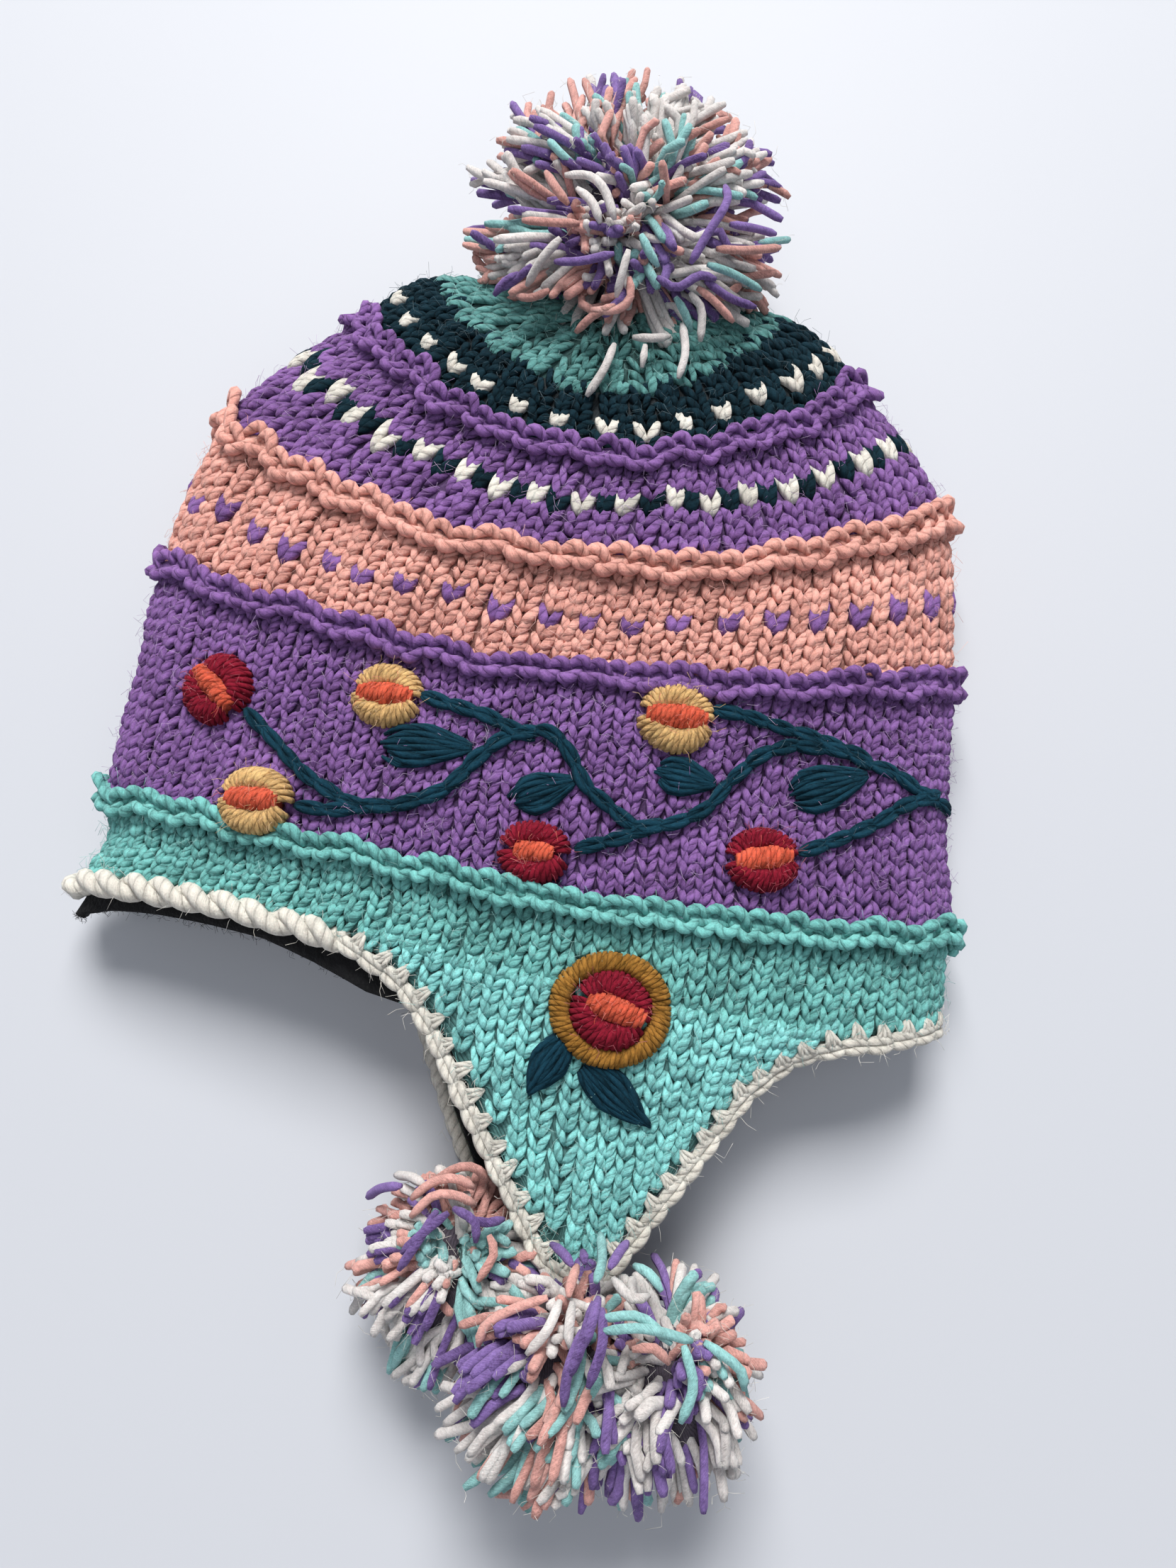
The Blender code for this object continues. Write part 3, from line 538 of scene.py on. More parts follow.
def loose_fibre(name, colour, pale=0.35):
    """Single hairs that stand off the wool, each a little paler or darker than the next."""
    material, tree, shader = new_material(name)
    shade = tree.nodes.new("ShaderNodeAttribute")
    shade.attribute_name = "shade"
    ramp = tree.nodes.new("ShaderNodeValToRGB")
    light = [c * (1 - pale) + 0.80 * pale for c in colour]
    ramp.color_ramp.elements[0].color = (*[c * 0.8 for c in colour], 1)
    ramp.color_ramp.elements[1].color = (*light, 1)
    spread = math_node(tree, "ADD", math_node(tree, "MULTIPLY", shade.outputs["Fac"], 0.5), 0.5)
    link(tree, spread, ramp.inputs["Fac"])
    link(tree, ramp.outputs["Color"], shader.inputs["Base Color"])
    shader.inputs["Roughness"].default_value = 0.9
    shader.inputs["Specular IOR Level"].default_value = 0.2
    return material


def fleece(name):
    """Black brushed fleece: a short pile in soft clumps."""
    material, tree, shader = new_material(name)
    nodes = tree.nodes
    place = nodes.new("ShaderNodeTexCoord").outputs["Object"]
    pile = noise_node(tree, place, 900.0, 4.0, 0.5)
    clumps = noise_node(tree, place, 220.0, 2.0, 0.5)
    ramp = nodes.new("ShaderNodeValToRGB")
    ramp.color_ramp.elements[0].color = (0.002, 0.002, 0.002, 1)
    ramp.color_ramp.elements[1].color = (0.014, 0.014, 0.016, 1)
    link(tree, clumps, ramp.inputs["Fac"])
    link(tree, ramp.outputs["Color"], shader.inputs["Base Color"])
    bump = nodes.new("ShaderNodeBump")
    bump.inputs["Strength"].default_value = 1.0
    bump.inputs["Distance"].default_value = 0.0009
    link(tree, math_node(tree, "ADD", pile, clumps), bump.inputs["Height"])
    link(tree, bump.outputs["Normal"], shader.inputs["Normal"])
    shader.inputs["Roughness"].default_value = 1.0
    shader.inputs["Specular IOR Level"].default_value = 0.1
    shader.inputs["Sheen Weight"].default_value = 0.06
    shader.inputs["Sheen Roughness"].default_value = 0.7
    return material


WOOLS = {
    "mint": wool("mint_wool", MINT),
    "purple": wool("purple_wool", PURPLE),
    "peach": wool("peach_wool", PEACH, 0.26),
    # Teal wool with painted shade in its colour, as noted at TEAL.
    "teal": wool("deep_teal_painted_shade_wool", TEAL, 0.35, haze=0.12),
    "leaf": wool("leaf_wool", LEAF_TEAL, 0.35, twist=0.05, haze=0.15),
    "cream": wool("cream_wool", CREAM, 0.20),
    "crimson": wool("crimson_wool", CRIMSON, haze=0.25),
    "coral": wool("coral_wool", CORAL, haze=0.5),
    "yellow": wool("yellow_wool", YELLOW, haze=0.8),
    "ochre": wool("ochre_wool", OCHRE, haze=0.4),
    "white": wool("white_strand", STRAND_WHITE, 0.24, haze=1.4, ply=0.15),
    "violet": wool("violet_strand", VIOLET, 0.34, haze=1.6, ply=0.2),
    "salmon": wool("salmon_strand", SALMON, 0.30, haze=1.4, ply=0.2),
    "aqua": wool("aqua_strand", AQUA, 0.30, haze=1.4, ply=0.2),
    # Painted light: the flaps take a lighter copy of the mint wool.
    "flap_painted_light": wool("flap_painted_light_wool", FLAP_MINT_PAINTED_LIGHT),
    # Painted shade: the crown takes a darker copy of the mint wool.
    "crown_painted_shade": wool("crown_painted_shade_wool", CROWN_MINT_PAINTED_SHADE),
}
HAIRS = {
    "mint": loose_fibre("mint_hair", MINT),
    "purple": loose_fibre("purple_hair", (0.32, 0.17, 0.42)),
    "peach": loose_fibre("peach_hair", PEACH),
    "teal": loose_fibre("teal_hair", (0.02, 0.06, 0.08), 0.12),
    "cream": loose_fibre("cream_hair", CREAM),
    "crimson": loose_fibre("crimson_hair", (0.42, 0.05, 0.08), 0.15),
    "coral": loose_fibre("coral_hair", CORAL, 0.2),
    "yellow": loose_fibre("yellow_hair", YELLOW, 0.3),
    "leaf": loose_fibre("leaf_hair", (0.02, 0.07, 0.10), 0.12),
    "black": loose_fibre("black_hair", (0.008, 0.008, 0.009), 0.01),
}


# The wall behind the stitches shows only in the gaps between them. Its wool is the band's colour at
# about a third: painted shade for those gaps.
def painted_shade_backing(name, colour):
    return wool(name, [c * 0.36 for c in colour], 0.3)


# Knitting

YARN_DEPTH = -1.25 * MM
LEG_ACROSS = (0.03, 0.43)
LEG_ALONG = (-0.26, 1.30)


def leg_shape(steps):
    """Across, along, height and thickness of one leg of a stitch from its foot to its top."""
    t = np.linspace(0, 1, steps)
    across = LEG_ACROSS[0] + (LEG_ACROSS[1] - LEG_ACROSS[0]) * t**0.9
    along = LEG_ALONG[0] + (LEG_ALONG[1] - LEG_ALONG[0]) * t
    height = 1.05 * np.sin(math.pi * np.clip(t * 0.95 + 0.08, 0, 1)) - 0.95 * t**2 - 0.25
    thick = np.interp(t, (0, 0.12, 0.4, 0.75, 0.92, 1), (0.40, 0.80, 1.0, 0.92, 0.66, 0.30))
    return across, along, height, thick


class Drift:
    """Slow wandering of the stitches over the cloth, the same all the way round."""

    def __init__(self, seed):
        waves = np.random.default_rng(seed)
        self.round = waves.integers(3, 26, 9)
        self.rows = waves.uniform(-0.9, 0.9, 9)
        self.phase = waves.uniform(0, 2 * math.pi, 9)

    def at(self, rows, places):
        total = 0.0
        for around, along, phase in zip(self.round, self.rows, self.phase):
            total = total + np.sin(2 * math.pi * around * places + along * rows + phase)
        return total / 3.0


SIDEWAYS, LENGTHWISE, DENTS = Drift(3), Drift(4), Drift(5)


def stitches(yarn, lay, rows, columns, size, steps, sides, material=0, row_step=1.0):
    """V stitches. lay gives points for rows, columns and heights. Each stitch has one entry."""
    across, along, height, thick = leg_shape(steps)
    count = len(rows)
    shift = rng.normal(0, 0.035, count)
    rise = rng.normal(0, 0.07, count)
    turn = rng.normal(0, 0.04, count)
    shade = rng.uniform(-1, 1, count)
    for sign in (-1, 1):
        wide = across[None, :] * (1 + rng.normal(0, 0.07, count)[:, None]) * sign
        wide = wide + shift[:, None] + turn[:, None] * along[None, :]
        tall = along[None, :] * (1 + rng.normal(0, 0.06, count)[:, None]) + rise[:, None]
        lift = height[None, :] + rng.normal(0, 0.10, count)[:, None]
        lift = lift + rng.normal(0, 0.05, (count, steps))
        paths, ups = lay(
            rows[:, None] + tall * row_step, columns[:, None] + wide, YARN_DEPTH + lift * MM,
        )
        plump = 1 + rng.normal(0, 0.08, count)[:, None]
        radii = thick[None, :] * size[:, None] * plump
        yarn.tubes(paths, radii, ups, sides, shade + rng.normal(0, 0.35, count), material, 0.92)


def round_of(row):
    """How long the way round the body is at a row."""
    ring, _ = BODY.lay(np.full(240, row), np.arange(240) / 240, 0.0)
    return np.linalg.norm(ring - np.roll(ring, 1, axis=0), axis=1).sum()


def on_columns(columns):
    """Lays points by row and column on the body, drifting a little from straight lines."""
    def lay(rows, places, height):
        share = places / columns
        moved = share + 0.20 * SIDEWAYS.at(rows * 0.5, share) / columns
        rows_moved = rows + 0.22 * LENGTHWISE.at(rows * 0.3, share) * np.clip(rows / 3.0, 0, 1)
        dents = 0.30 * MM * DENTS.at(rows, share)
        return BODY.lay(rows_moved, moved, height + dents)
    return lay


def knit_rows(yarn, first_row, last_row, columns_at, dots=None):
    """Rows of stitches round the body. dots gives a row's material for each column."""
    row, number = first_row, 0
    while row < last_row - 0.2:
        columns = columns_at(row)
        places = np.arange(columns) + 0.5
        size = np.full(columns, round_of(row + 0.5) / columns * 0.240)
        material = np.zeros(columns, dtype=int) if dots is None else dots(number, columns)
        near = (places < 0.53 * columns) | (places > 0.97 * columns)
        for chosen, steps, sides in ((near, 6, 5), (~near, 3, 4)):
            for each in np.unique(material):
                pick = chosen & (material == each)
                if pick.any():
                    tall = 1.38 if each else 1.0
                    stitches(yarn, on_columns(columns), np.full(pick.sum(), row), places[pick],
                             size[pick] * (1.20 if each else 1.0), steps, sides, int(each),
                             row_step=tall)
        row += 1.0
        number += 1


def ridge(yarn, last_row, columns, material=0):
    """Two interlocked rows of purl bumps that stand proud along a band's upper end."""
    t = np.linspace(-1, 1, 8)
    arch = np.cos(t * math.pi / 2)
    places = np.arange(columns) / columns
    width = round_of(last_row) / columns
    near = (places < 0.515) | (places > 0.985)
    for upper in (True, False):
        offset = 0.0 if upper else 0.5
        along = (0.00 + 0.62 * arch) if upper else (-0.12 - 0.74 * arch)
        bulge = 1.5 + 1.6 * arch if upper else 1.0 + 1.8 * arch
        for chosen, keep, sides in ((near, slice(None), 6), (~near, slice(None, None, 2), 4)):
            count = chosen.sum()
            spread = 0.66 * (1 + rng.normal(0, 0.07, count))
            lean = rng.normal(0.16, 0.10, count) * (1 if upper else -1)
            v = places[chosen][:, None] + (t[None, keep] * spread[:, None] + offset) / columns
            u = last_row - 0.45 + along[None, keep] + lean[:, None] * t[None, keep]
            u = u + rng.normal(0, 0.10, count)[:, None] + 0.30 * LENGTHWISE.at(last_row * 0.3, v)
            lift = bulge[None, keep] * (1 + rng.normal(0, 0.10, count)[:, None]) * MM
            paths, ups = BODY.lay(u, v, lift)
            thick = (0.55 + 0.45 * arch[keep])[None, :] * width * 0.305
            thick = thick * (1 + rng.normal(0, 0.05, count)[:, None])
            yarn.tubes(paths, thick, ups, sides, rng.uniform(-1, 1, count), material)
    ring = np.arange(241) / 240
    middle = last_row - 0.5 + 0.30 * LENGTHWISE.at(last_row * 0.3, ring)
    paths, ups = BODY.lay(middle, ring, -0.2 * MM)
    yarn.tubes(paths[None], 2.4 * MM, ups[None], 8, np.zeros(1), material)


def backing(yarn, first_row, last_row, material):
    """The wall behind a band's stitches."""
    rows = np.linspace(first_row, last_row, max(3, int((last_row - first_row) / 1.5) + 1))
    places = np.arange(120) / 120
    grid = np.meshgrid(rows, places, indexing="ij")
    outer, _ = BODY.lay(grid[0], grid[1], -1.9 * MM)
    inner, _ = BODY.lay(grid[0], grid[1], -KNIT_WALL)
    yarn.skin(outer, inner, material)


def every_other(number_of_row, material, other=0, from_start=0):
    def dots(number, columns):
        chosen = np.zeros(columns, dtype=int)
        if number == number_of_row:
            chosen[:] = other
            chosen[from_start::2] = material
        return chosen
    return dots


def body_hairs(yarn, first_row, last_row, count, material):
    """Loose fibres over a band, four out of five of them on the near side."""
    rows = rng.uniform(first_row, last_row + 0.4, count)
    near = rng.random(count) < 0.8
    places = np.where(near, rng.uniform(-0.03, 0.53, count), rng.uniform(0.5, 1.0, count))
    points, normals = BODY.lay(rows, places, rng.uniform(-0.6, 0.5, count) * MM)
    yarn.hairs(points, normals, HAIR_LENGTH, material)


def make_band(name, colour, first_row, last_row, columns, welt, hairs, dots=None, dot_wools=()):
    yarn = Yarn(f"{name}_knit")
    knit_rows(yarn, first_row, last_row - (1.5 if welt else 0.0), lambda row: columns, dots)
    if welt:
        ridge(yarn, last_row, columns)
    wools = [WOOLS[colour]] + [WOOLS[each] for each in dot_wools]
    backing(yarn, first_row, last_row, len(wools))
    wools.append(painted_shade_backing(f"{name}_back", {"mint": MINT, "purple": PURPLE, "peach": PEACH,
                                               "teal": TEAL}[colour]))
    body_hairs(yarn, first_row, last_row, hairs, len(wools))
    wools.append(HAIRS[colour])
    yarn.build(wools, name, (name,))


def make_crown():
    yarn = Yarn("crown_top_knit")

    def columns_at(row):
        return 44 if row < 52.7 else 28 if row < 54.7 else 14

    knit_rows(yarn, TEAL_END - 0.2, CROWN_END - 1.2, columns_at)
    backing(yarn, TEAL_END, CROWN_END - 0.4, 1)
    body_hairs(yarn, TEAL_END, CROWN_END - 2, 350, 2)
    yarn.build([WOOLS["crown_painted_shade"], painted_shade_backing("crown_back", CROWN_MINT_PAINTED_SHADE), HAIRS["mint"]], "crown_top",
               ("crown_top",))


MINT_COLUMNS = 96
make_band("mint_band", "mint", 0.0, MINT_END, MINT_COLUMNS, True, 1000)
make_band("lower_purple_band", "purple", MINT_END - 0.3, PURPLE_END, MINT_COLUMNS, True, 1850)
make_band("peach_band", "peach", PURPLE_END - 0.3, PEACH_END, 80, True, 1200, every_other(4, 1),
          ("purple",))
make_band("upper_purple_band", "purple", PEACH_END - 0.3, PLUM_END, 72, True, 900,
          every_other(4, 1, 2), ("cream", "teal"))
make_band("teal_band", "teal", PLUM_END - 0.3, TEAL_END, 56, False, 450, every_other(2, 1),
          ("cream",))
make_crown()


# Ear flaps

def make_flap(side):
    """A flap's columns run straight on from the band's and stop at the outline."""
    surface = FLAPS[side]
    yarn = Yarn(f"ear_flap_{side}_knit")
    length = FLAP_LENGTH if side == "near" else FAR_FLAP_LENGTH
    rows = int(length / (3.75 * MM))
    fine = (6, 5) if side == "near" else (4, 4)
    grid = surface.points
    widths = np.linalg.norm(np.diff(grid, axis=1), axis=2).sum(axis=1)
    downs = np.linspace(0, 1, len(widths))
    pitch = round_of(0.0) / MINT_COLUMNS
    middle = grid[0, 30]
    ring, _ = BODY.lay(np.zeros(960), np.arange(960) / 960, 0.0)
    phase = np.argmin(np.linalg.norm(ring - middle, axis=1)) / 960 * MINT_COLUMNS % 1.0
    way = 1.0 if side == "near" else -1.0

    def lay(up, columns, height):
        down = 1.0 - up / rows
        width = np.interp(down, downs, widths)
        across = 0.5 + columns * pitch / width
        drift = 0.16 * SIDEWAYS.at(down * 9.0, across * 0.2) * pitch / width
        dents = 0.25 * MM * DENTS.at(down * 14, across / 5)
        points, normals = surface.lay(down, across + drift, height + dents)
        beyond = np.minimum(down, 0.0)
        points[..., 1] -= beyond * length
        return points, normals

    for number in range(rows + 1):
        width = np.interp(1.0 - (number + 0.6) / rows, downs, widths)
        reach = (width / 2 - 1.6 * MM) / pitch
        columns = np.arange(-30, 31) + 0.5 - way * phase
        columns = columns[np.abs(columns) < reach - 0.25]
        count = len(columns)
        stitches(yarn, lay, np.full(count, number + 0.1), columns, np.full(count, pitch * 0.240), *fine)
    down = np.linspace(0, 1, 24)
    across = np.linspace(0, 1, 24)
    u, v = np.meshgrid(down, across, indexing="ij")
    outer, _ = surface.lay(u, v, -1.9 * MM)
    inner, _ = surface.lay(u, v, -KNIT_WALL)
    slab(yarn, outer, inner, 1)
    hairs = 600 if side == "near" else 120
    points, normals = surface.lay(rng.uniform(0, 1, hairs), rng.uniform(0, 1, hairs), 0.0)
    yarn.hairs(points, normals, HAIR_LENGTH, 2)
    yarn.build([WOOLS["flap_painted_light"], painted_shade_backing(f"flap_{side}_back", FLAP_MINT_PAINTED_LIGHT), HAIRS["mint"]],
               f"ear_flap_{side}", (f"ear_flap_{side}",))


def slab(yarn, outer, inner, material):
    """A closed slab between two open grids of points."""
    rows, columns = outer.shape[:2]
    ids = np.arange(rows * columns).reshape(rows, columns)
    other = ids + rows * columns
    loop = np.concatenate([ids[0], ids[1:, -1], ids[-1, -2::-1], ids[-2:0:-1, 0]])
    around = np.roll(loop, -1)
    sides = np.stack([loop, around, around + rows * columns, loop + rows * columns], -1)
    top = np.stack([ids[:-1, :-1], ids[1:, :-1], ids[1:, 1:], ids[:-1, 1:]], -1).reshape(-1, 4)
    bottom = np.stack(
        [other[:-1, :-1], other[:-1, 1:], other[1:, 1:], other[1:, :-1]], -1
    ).reshape(-1, 4)
    normal = np.cross(outer[1, 0] - outer[0, 0], outer[0, 1] - outer[0, 0])
    upward = normal @ (outer[0, 0] - inner[0, 0]) > 0
    for part in (top, bottom, sides):
        if not upward:
            part = part[:, ::-1]
        uv = np.stack([(part % columns) * 1.0, (part // columns) * 1.0], -1)
        yarn.add_faces(part, uv, material)
    yarn.add_points(np.stack([outer, inner]), np.zeros((2, rows, columns)))


make_flap("near")
make_flap("far")


# Routes: lines on the hat that cords, chains and coils follow

class Route:
    """A line with a normal at each point, read by the distance along it."""

    def __init__(self, points, normals, closed=False):
        if closed:
            points = np.concatenate([points, points[:1]])
            normals = np.concatenate([normals, normals[:1]])
        steps = np.linalg.norm(np.diff(points, axis=0), axis=1)
        self.run = np.concatenate([[0], np.cumsum(steps)])
        self.points, self.normals, self.closed = points, normals, closed
        self.length = self.run[-1]

    def read(self, table, s):
        if self.closed:
            s = s % self.length
        else:
            beyond = np.where(s < 0, s, np.where(s > self.length, s - self.length, 0.0))
            s = s - beyond
        value = np.stack([np.interp(s, self.run, table[:, k]) for k in range(3)], -1)
        if not self.closed and table is self.points:
            first, last = unit(table[1] - table[0]), unit(table[-1] - table[-2])
            value = value + np.where((beyond < 0)[..., None], first, last) * beyond[..., None]
        return value

    def lay(self, s, across, height):
        """Points at a distance along, to the left of the way and over the route."""
        s, across, height = np.broadcast_arrays(s, across, height)
        step = 1.2 * MM
        way = unit(self.read(self.points, s + step) - self.read(self.points, s - step))
        normal = unit(self.read(self.normals, s))
        side = unit(np.cross(normal, way))
        points = self.read(self.points, s) + side * across[..., None] + normal * height[..., None]
        return points, normal


def smooth_line(corners, step):
    """Even points of a smooth curve through a few corners."""
    corners = np.asarray(corners, dtype=float)
    before = np.concatenate([corners[:1] * 2 - corners[1:2], corners[:-1]])
    after = np.concatenate([corners[1:], corners[-1:] * 2 - corners[-2:-1]])
    slopes = (after - before) / 2
    t = np.linspace(0, 1, 12, endpoint=False)[:, None]
    line = []
    for k in range(len(corners) - 1):
        line.append(
            corners[k] * (2 * t**3 - 3 * t**2 + 1) + slopes[k] * (t**3 - 2 * t**2 + t)
            + corners[k + 1] * (3 * t**2 - 2 * t**3) + slopes[k + 1] * (t**3 - t**2)
        )
    line = np.concatenate([*line, corners[-1:]])
    run = np.concatenate([[0], np.cumsum(np.linalg.norm(np.diff(line, axis=0), axis=1))])
    even = np.linspace(0, run[-1], max(3, int(run[-1] / step) + 1))
    return np.stack([np.interp(even, run, line[:, k]) for k in range(line.shape[1])], -1)


def chain(yarn, route, starts, pitch, spread, radius, material=0, offset=0.0, height=0.0, sides=7):
    """Teardrop chain stitches, two legs each, one behind the other along a route."""
    t = np.linspace(0, 1, 9)
    along = -0.22 + 1.42 * t
    open_up = np.sin(math.pi * np.clip(t * 0.98 + 0.02, 0, 1)) ** 0.75 * (1.0 - 0.25 * t)
    lift = 0.55 * np.sin(math.pi * np.clip(t * 0.9 + 0.12, 0, 1)) - 0.55 * t**2
    thick = np.interp(t, (0, 0.1, 0.3, 0.7, 0.92, 1), (0.45, 0.78, 1.0, 1.0, 0.72, 0.4))
    count = len(starts)
    shade = rng.uniform(-1, 1, count)
    tilt = rng.normal(0, 0.10, count)[:, None] * spread
    for sign in (-1, 1):
        s = starts[:, None] + along[None, :] * pitch * (1 + rng.normal(0, 0.04, count)[:, None])
        across = offset + tilt + sign * spread * open_up[None, :] * (
            1 + rng.normal(0, 0.08, count)[:, None])
        rise = height + lift[None, :] * radius * (1 + rng.normal(0, 0.12, count)[:, None])
        paths, ups = route.lay(s, across, rise)
        radii = radius * thick[None, :] * (1 + rng.normal(0, 0.05, count)[:, None])
        yarn.tubes(paths, radii, ups, sides, shade + rng.normal(0, 0.2, count), material)


def coil(yarn, route, first, last, width, rise, pitch, radius, material=0, taper=0.45, slant=0.25):
    """Yarn wrapped closely over a core, as in a bullion knot. It is narrower at both ends."""
    count = max(4, int(round((last - first) / pitch)))
    share = (np.arange(count) + 0.5) / count
    full = 1 - (1 - taper) * np.abs(2 * share - 1) ** 5
    full = full * (1 + rng.normal(0, 0.03, count))
    angle = np.radians(np.linspace(-15, 195, 8))
    lean = pitch * slant * np.cos(angle)[None, :]
    s = first + share[:, None] * (last - first) + lean + rng.normal(0, 0.06, (count, 1)) * pitch
    across = np.cos(angle)[None, :] * full[:, None] * width / 2
    height = np.sin(angle)[None, :] * full[:, None] * rise
    paths, ups = route.lay(s, across, height)
    middle, _ = route.lay(s, 0.0, 0.0)
    yarn.tubes(paths, radius, unit(paths - middle + 1e-9), 5, rng.uniform(-1, 1, count), material)
    core_s = np.linspace(first + pitch / 2, last - pitch / 2, max(6, count // 2))
    share = (core_s - first) / (last - first)
    full = 1 - (1 - taper) * np.abs(2 * share - 1) ** 5
    core, ups = route.lay(core_s, 0.0, 0.0)
    wide, tall = width / 2 + 0.3 * radius, rise + 0.3 * radius
    yarn.tubes(core[None], (full * wide)[None], ups[None], 12, np.zeros(1), material,
               flat=tall / wide)


def rope(yarn, route, first, last, turn, spread, radius, material=0):
    """Two plump plies that twist round each other along a route."""
    s = np.arange(first, last, 1.3 * MM)
    share = np.linspace(0, 1, len(s))
    thick = np.interp(share, (0, 0.03, 0.97, 1), (0.6, 1, 1, 0.6)) * radius
    for ply in (0.0, math.pi):
        angle = 2 * math.pi * s / turn + ply + 0.35 * np.sin(s / (23 * MM) + ply)
        wide = spread * (1 + 0.10 * np.sin(s / (9 * MM) + 2 * ply))
        reach = edging_reach(s) + wide * np.cos(angle)
        path, ups = route.lay(s, reach, wide * np.sin(angle) - 0.4 * MM)
        plump = thick * (1 + 0.06 * np.sin(s / (5 * MM) + ply))
        yarn.tubes(path[None], plump[None], ups[None], 9, np.zeros(1), material)


# Edging

def edge_line():
    """The whole lower edge, rim and flaps, as points on the outer face, its normals, and marks."""
    def rim(first, last):
        degrees = np.radians(np.arange(first, last + 0.1, 2.0))
        points = body_points(np.zeros(len(degrees)), degrees)
        ahead = body_points(np.full(len(degrees), 0.8), degrees)
        around = body_points(np.zeros(len(degrees)), degrees + 0.03)
        return points, unit(np.cross(ahead - points, around - points))

    def flap(side):
        surface = FLAPS[side]
        down = np.linspace(0.04, 0.97, 30)
        parts = []
        for edge, way in ((0.0, 1), (1.0, -1)):
            here = down[::way]
            parts.append(surface.lay(here, np.full(len(here), edge), 0.0))
        tip = surface.lay(np.full(3, 1.0), np.array([0.25, 0.5, 0.75]), 0.0)
        points = np.concatenate([parts[0][0], tip[0], parts[1][0]])
        normals = np.concatenate([parts[0][1], tip[1], parts[1][1]])
        return points, normals

    pieces = [
        rim(2, NEAR_ROOT[0] - 1), flap("near"), rim(NEAR_ROOT[1] + 1, FAR_ROOT[0] - 1),
        flap("far"), rim(FAR_ROOT[1] + 1, 358),
    ]
    points = np.concatenate([piece[0] for piece in pieces])
    normals = np.concatenate([piece[1] for piece in pieces])
    marks = np.cumsum([len(piece[0]) for piece in pieces])
    return points, normals, marks


EDGE_POINTS, EDGE_NORMALS, EDGE_MARKS = edge_line()
EDGE = Route(EDGE_POINTS, EDGE_NORMALS, closed=True)
NEAR_FLAP_END = EDGE.run[EDGE_MARKS[1]]
LEFT_FOLD = EDGE.run[EDGE_MARKS[1] + (180 - NEAR_ROOT[1]) // 2]
FAR_FLAP_START = EDGE.run[EDGE_MARKS[2]]


def edging_reach(places):
    """How far the edging's middle lies past the knitting. It is tucked in behind the lining."""
    marks = (LEFT_FOLD + 8 * MM, LEFT_FOLD + 20 * MM, FAR_FLAP_START - 6 * MM, FAR_FLAP_START + 4 * MM)
    return np.interp(places, marks, (2.3 * MM, 0.0, 0.0, 2.3 * MM))


def make_edging():
    yarn = Yarn("edging_crochet")
    stretches = (
        (0.0, NEAR_FLAP_END - 2 * MM, 7.2, 1.40, 1.42, True),
        (LEFT_FOLD + 14 * MM, EDGE.length, 6.6, 1.35, 1.38, False),
    )
    rope(yarn, EDGE, NEAR_FLAP_END - 4 * MM, LEFT_FOLD + 14 * MM, 18.5 * MM, 1.9 * MM, 2.35 * MM)
    for first, last, pitch, spread, radius, teeth in stretches:
        count = int((last - first) / (pitch * MM))
        starts = first + (last - first) * np.arange(count) / count
        chain(yarn, EDGE, starts, pitch * MM, spread * MM, radius * MM,
              offset=edging_reach(starts)[:, None], height=-1.0 * MM)
        if teeth:
            crochet_teeth(yarn, starts + 1.5 * MM)
    underneath = np.linspace(0, EDGE.length, 420)
    path, ups = EDGE.lay(underneath, edging_reach(underneath), -2.3 * MM)
    yarn.tubes(path[None], 1.9 * MM, ups[None], 7, np.zeros(1))
    places = rng.uniform(0, EDGE.length, 800)
    points, normals = EDGE.lay(places, rng.uniform(-2.0, 4.6, 800) * MM, -0.2 * MM)
    yarn.hairs(points, normals, HAIR_LENGTH, 1)
    yarn.build([WOOLS["cream"], HAIRS["cream"]], "edging", ("edging",))


def crochet_teeth(yarn, starts):
    """Triangles of three strands that reach from the edging into the knitting."""
    t = np.linspace(0, 1, 5)
    reach = 3.7 * (1 + rng.normal(0, 0.16, len(starts)))
    skew = rng.normal(0, 0.7 * MM, len(starts))[:, None]
    for fan in (-1.0, 0.0, 1.0):
        s = starts[:, None] + fan * 1.9 * MM * (1 - t[None, :]) ** 0.8 + skew * t[None, :]
        across = (1.6 - (reach[:, None] + 1.6) * t[None, :]) * MM
        height = (-0.2 + 0.7 * np.sin(math.pi * t) - 1.0 * t**2)[None, :] * MM
        paths, ups = EDGE.lay(s, across, height + 0.0 * s)
        thick = np.interp(t, (0, 0.2, 0.8, 1), (0.8, 1.0, 0.9, 0.5))[None, :] * 0.80 * MM
        yarn.tubes(paths, thick, ups, 6)


make_edging()


# Fleece lining

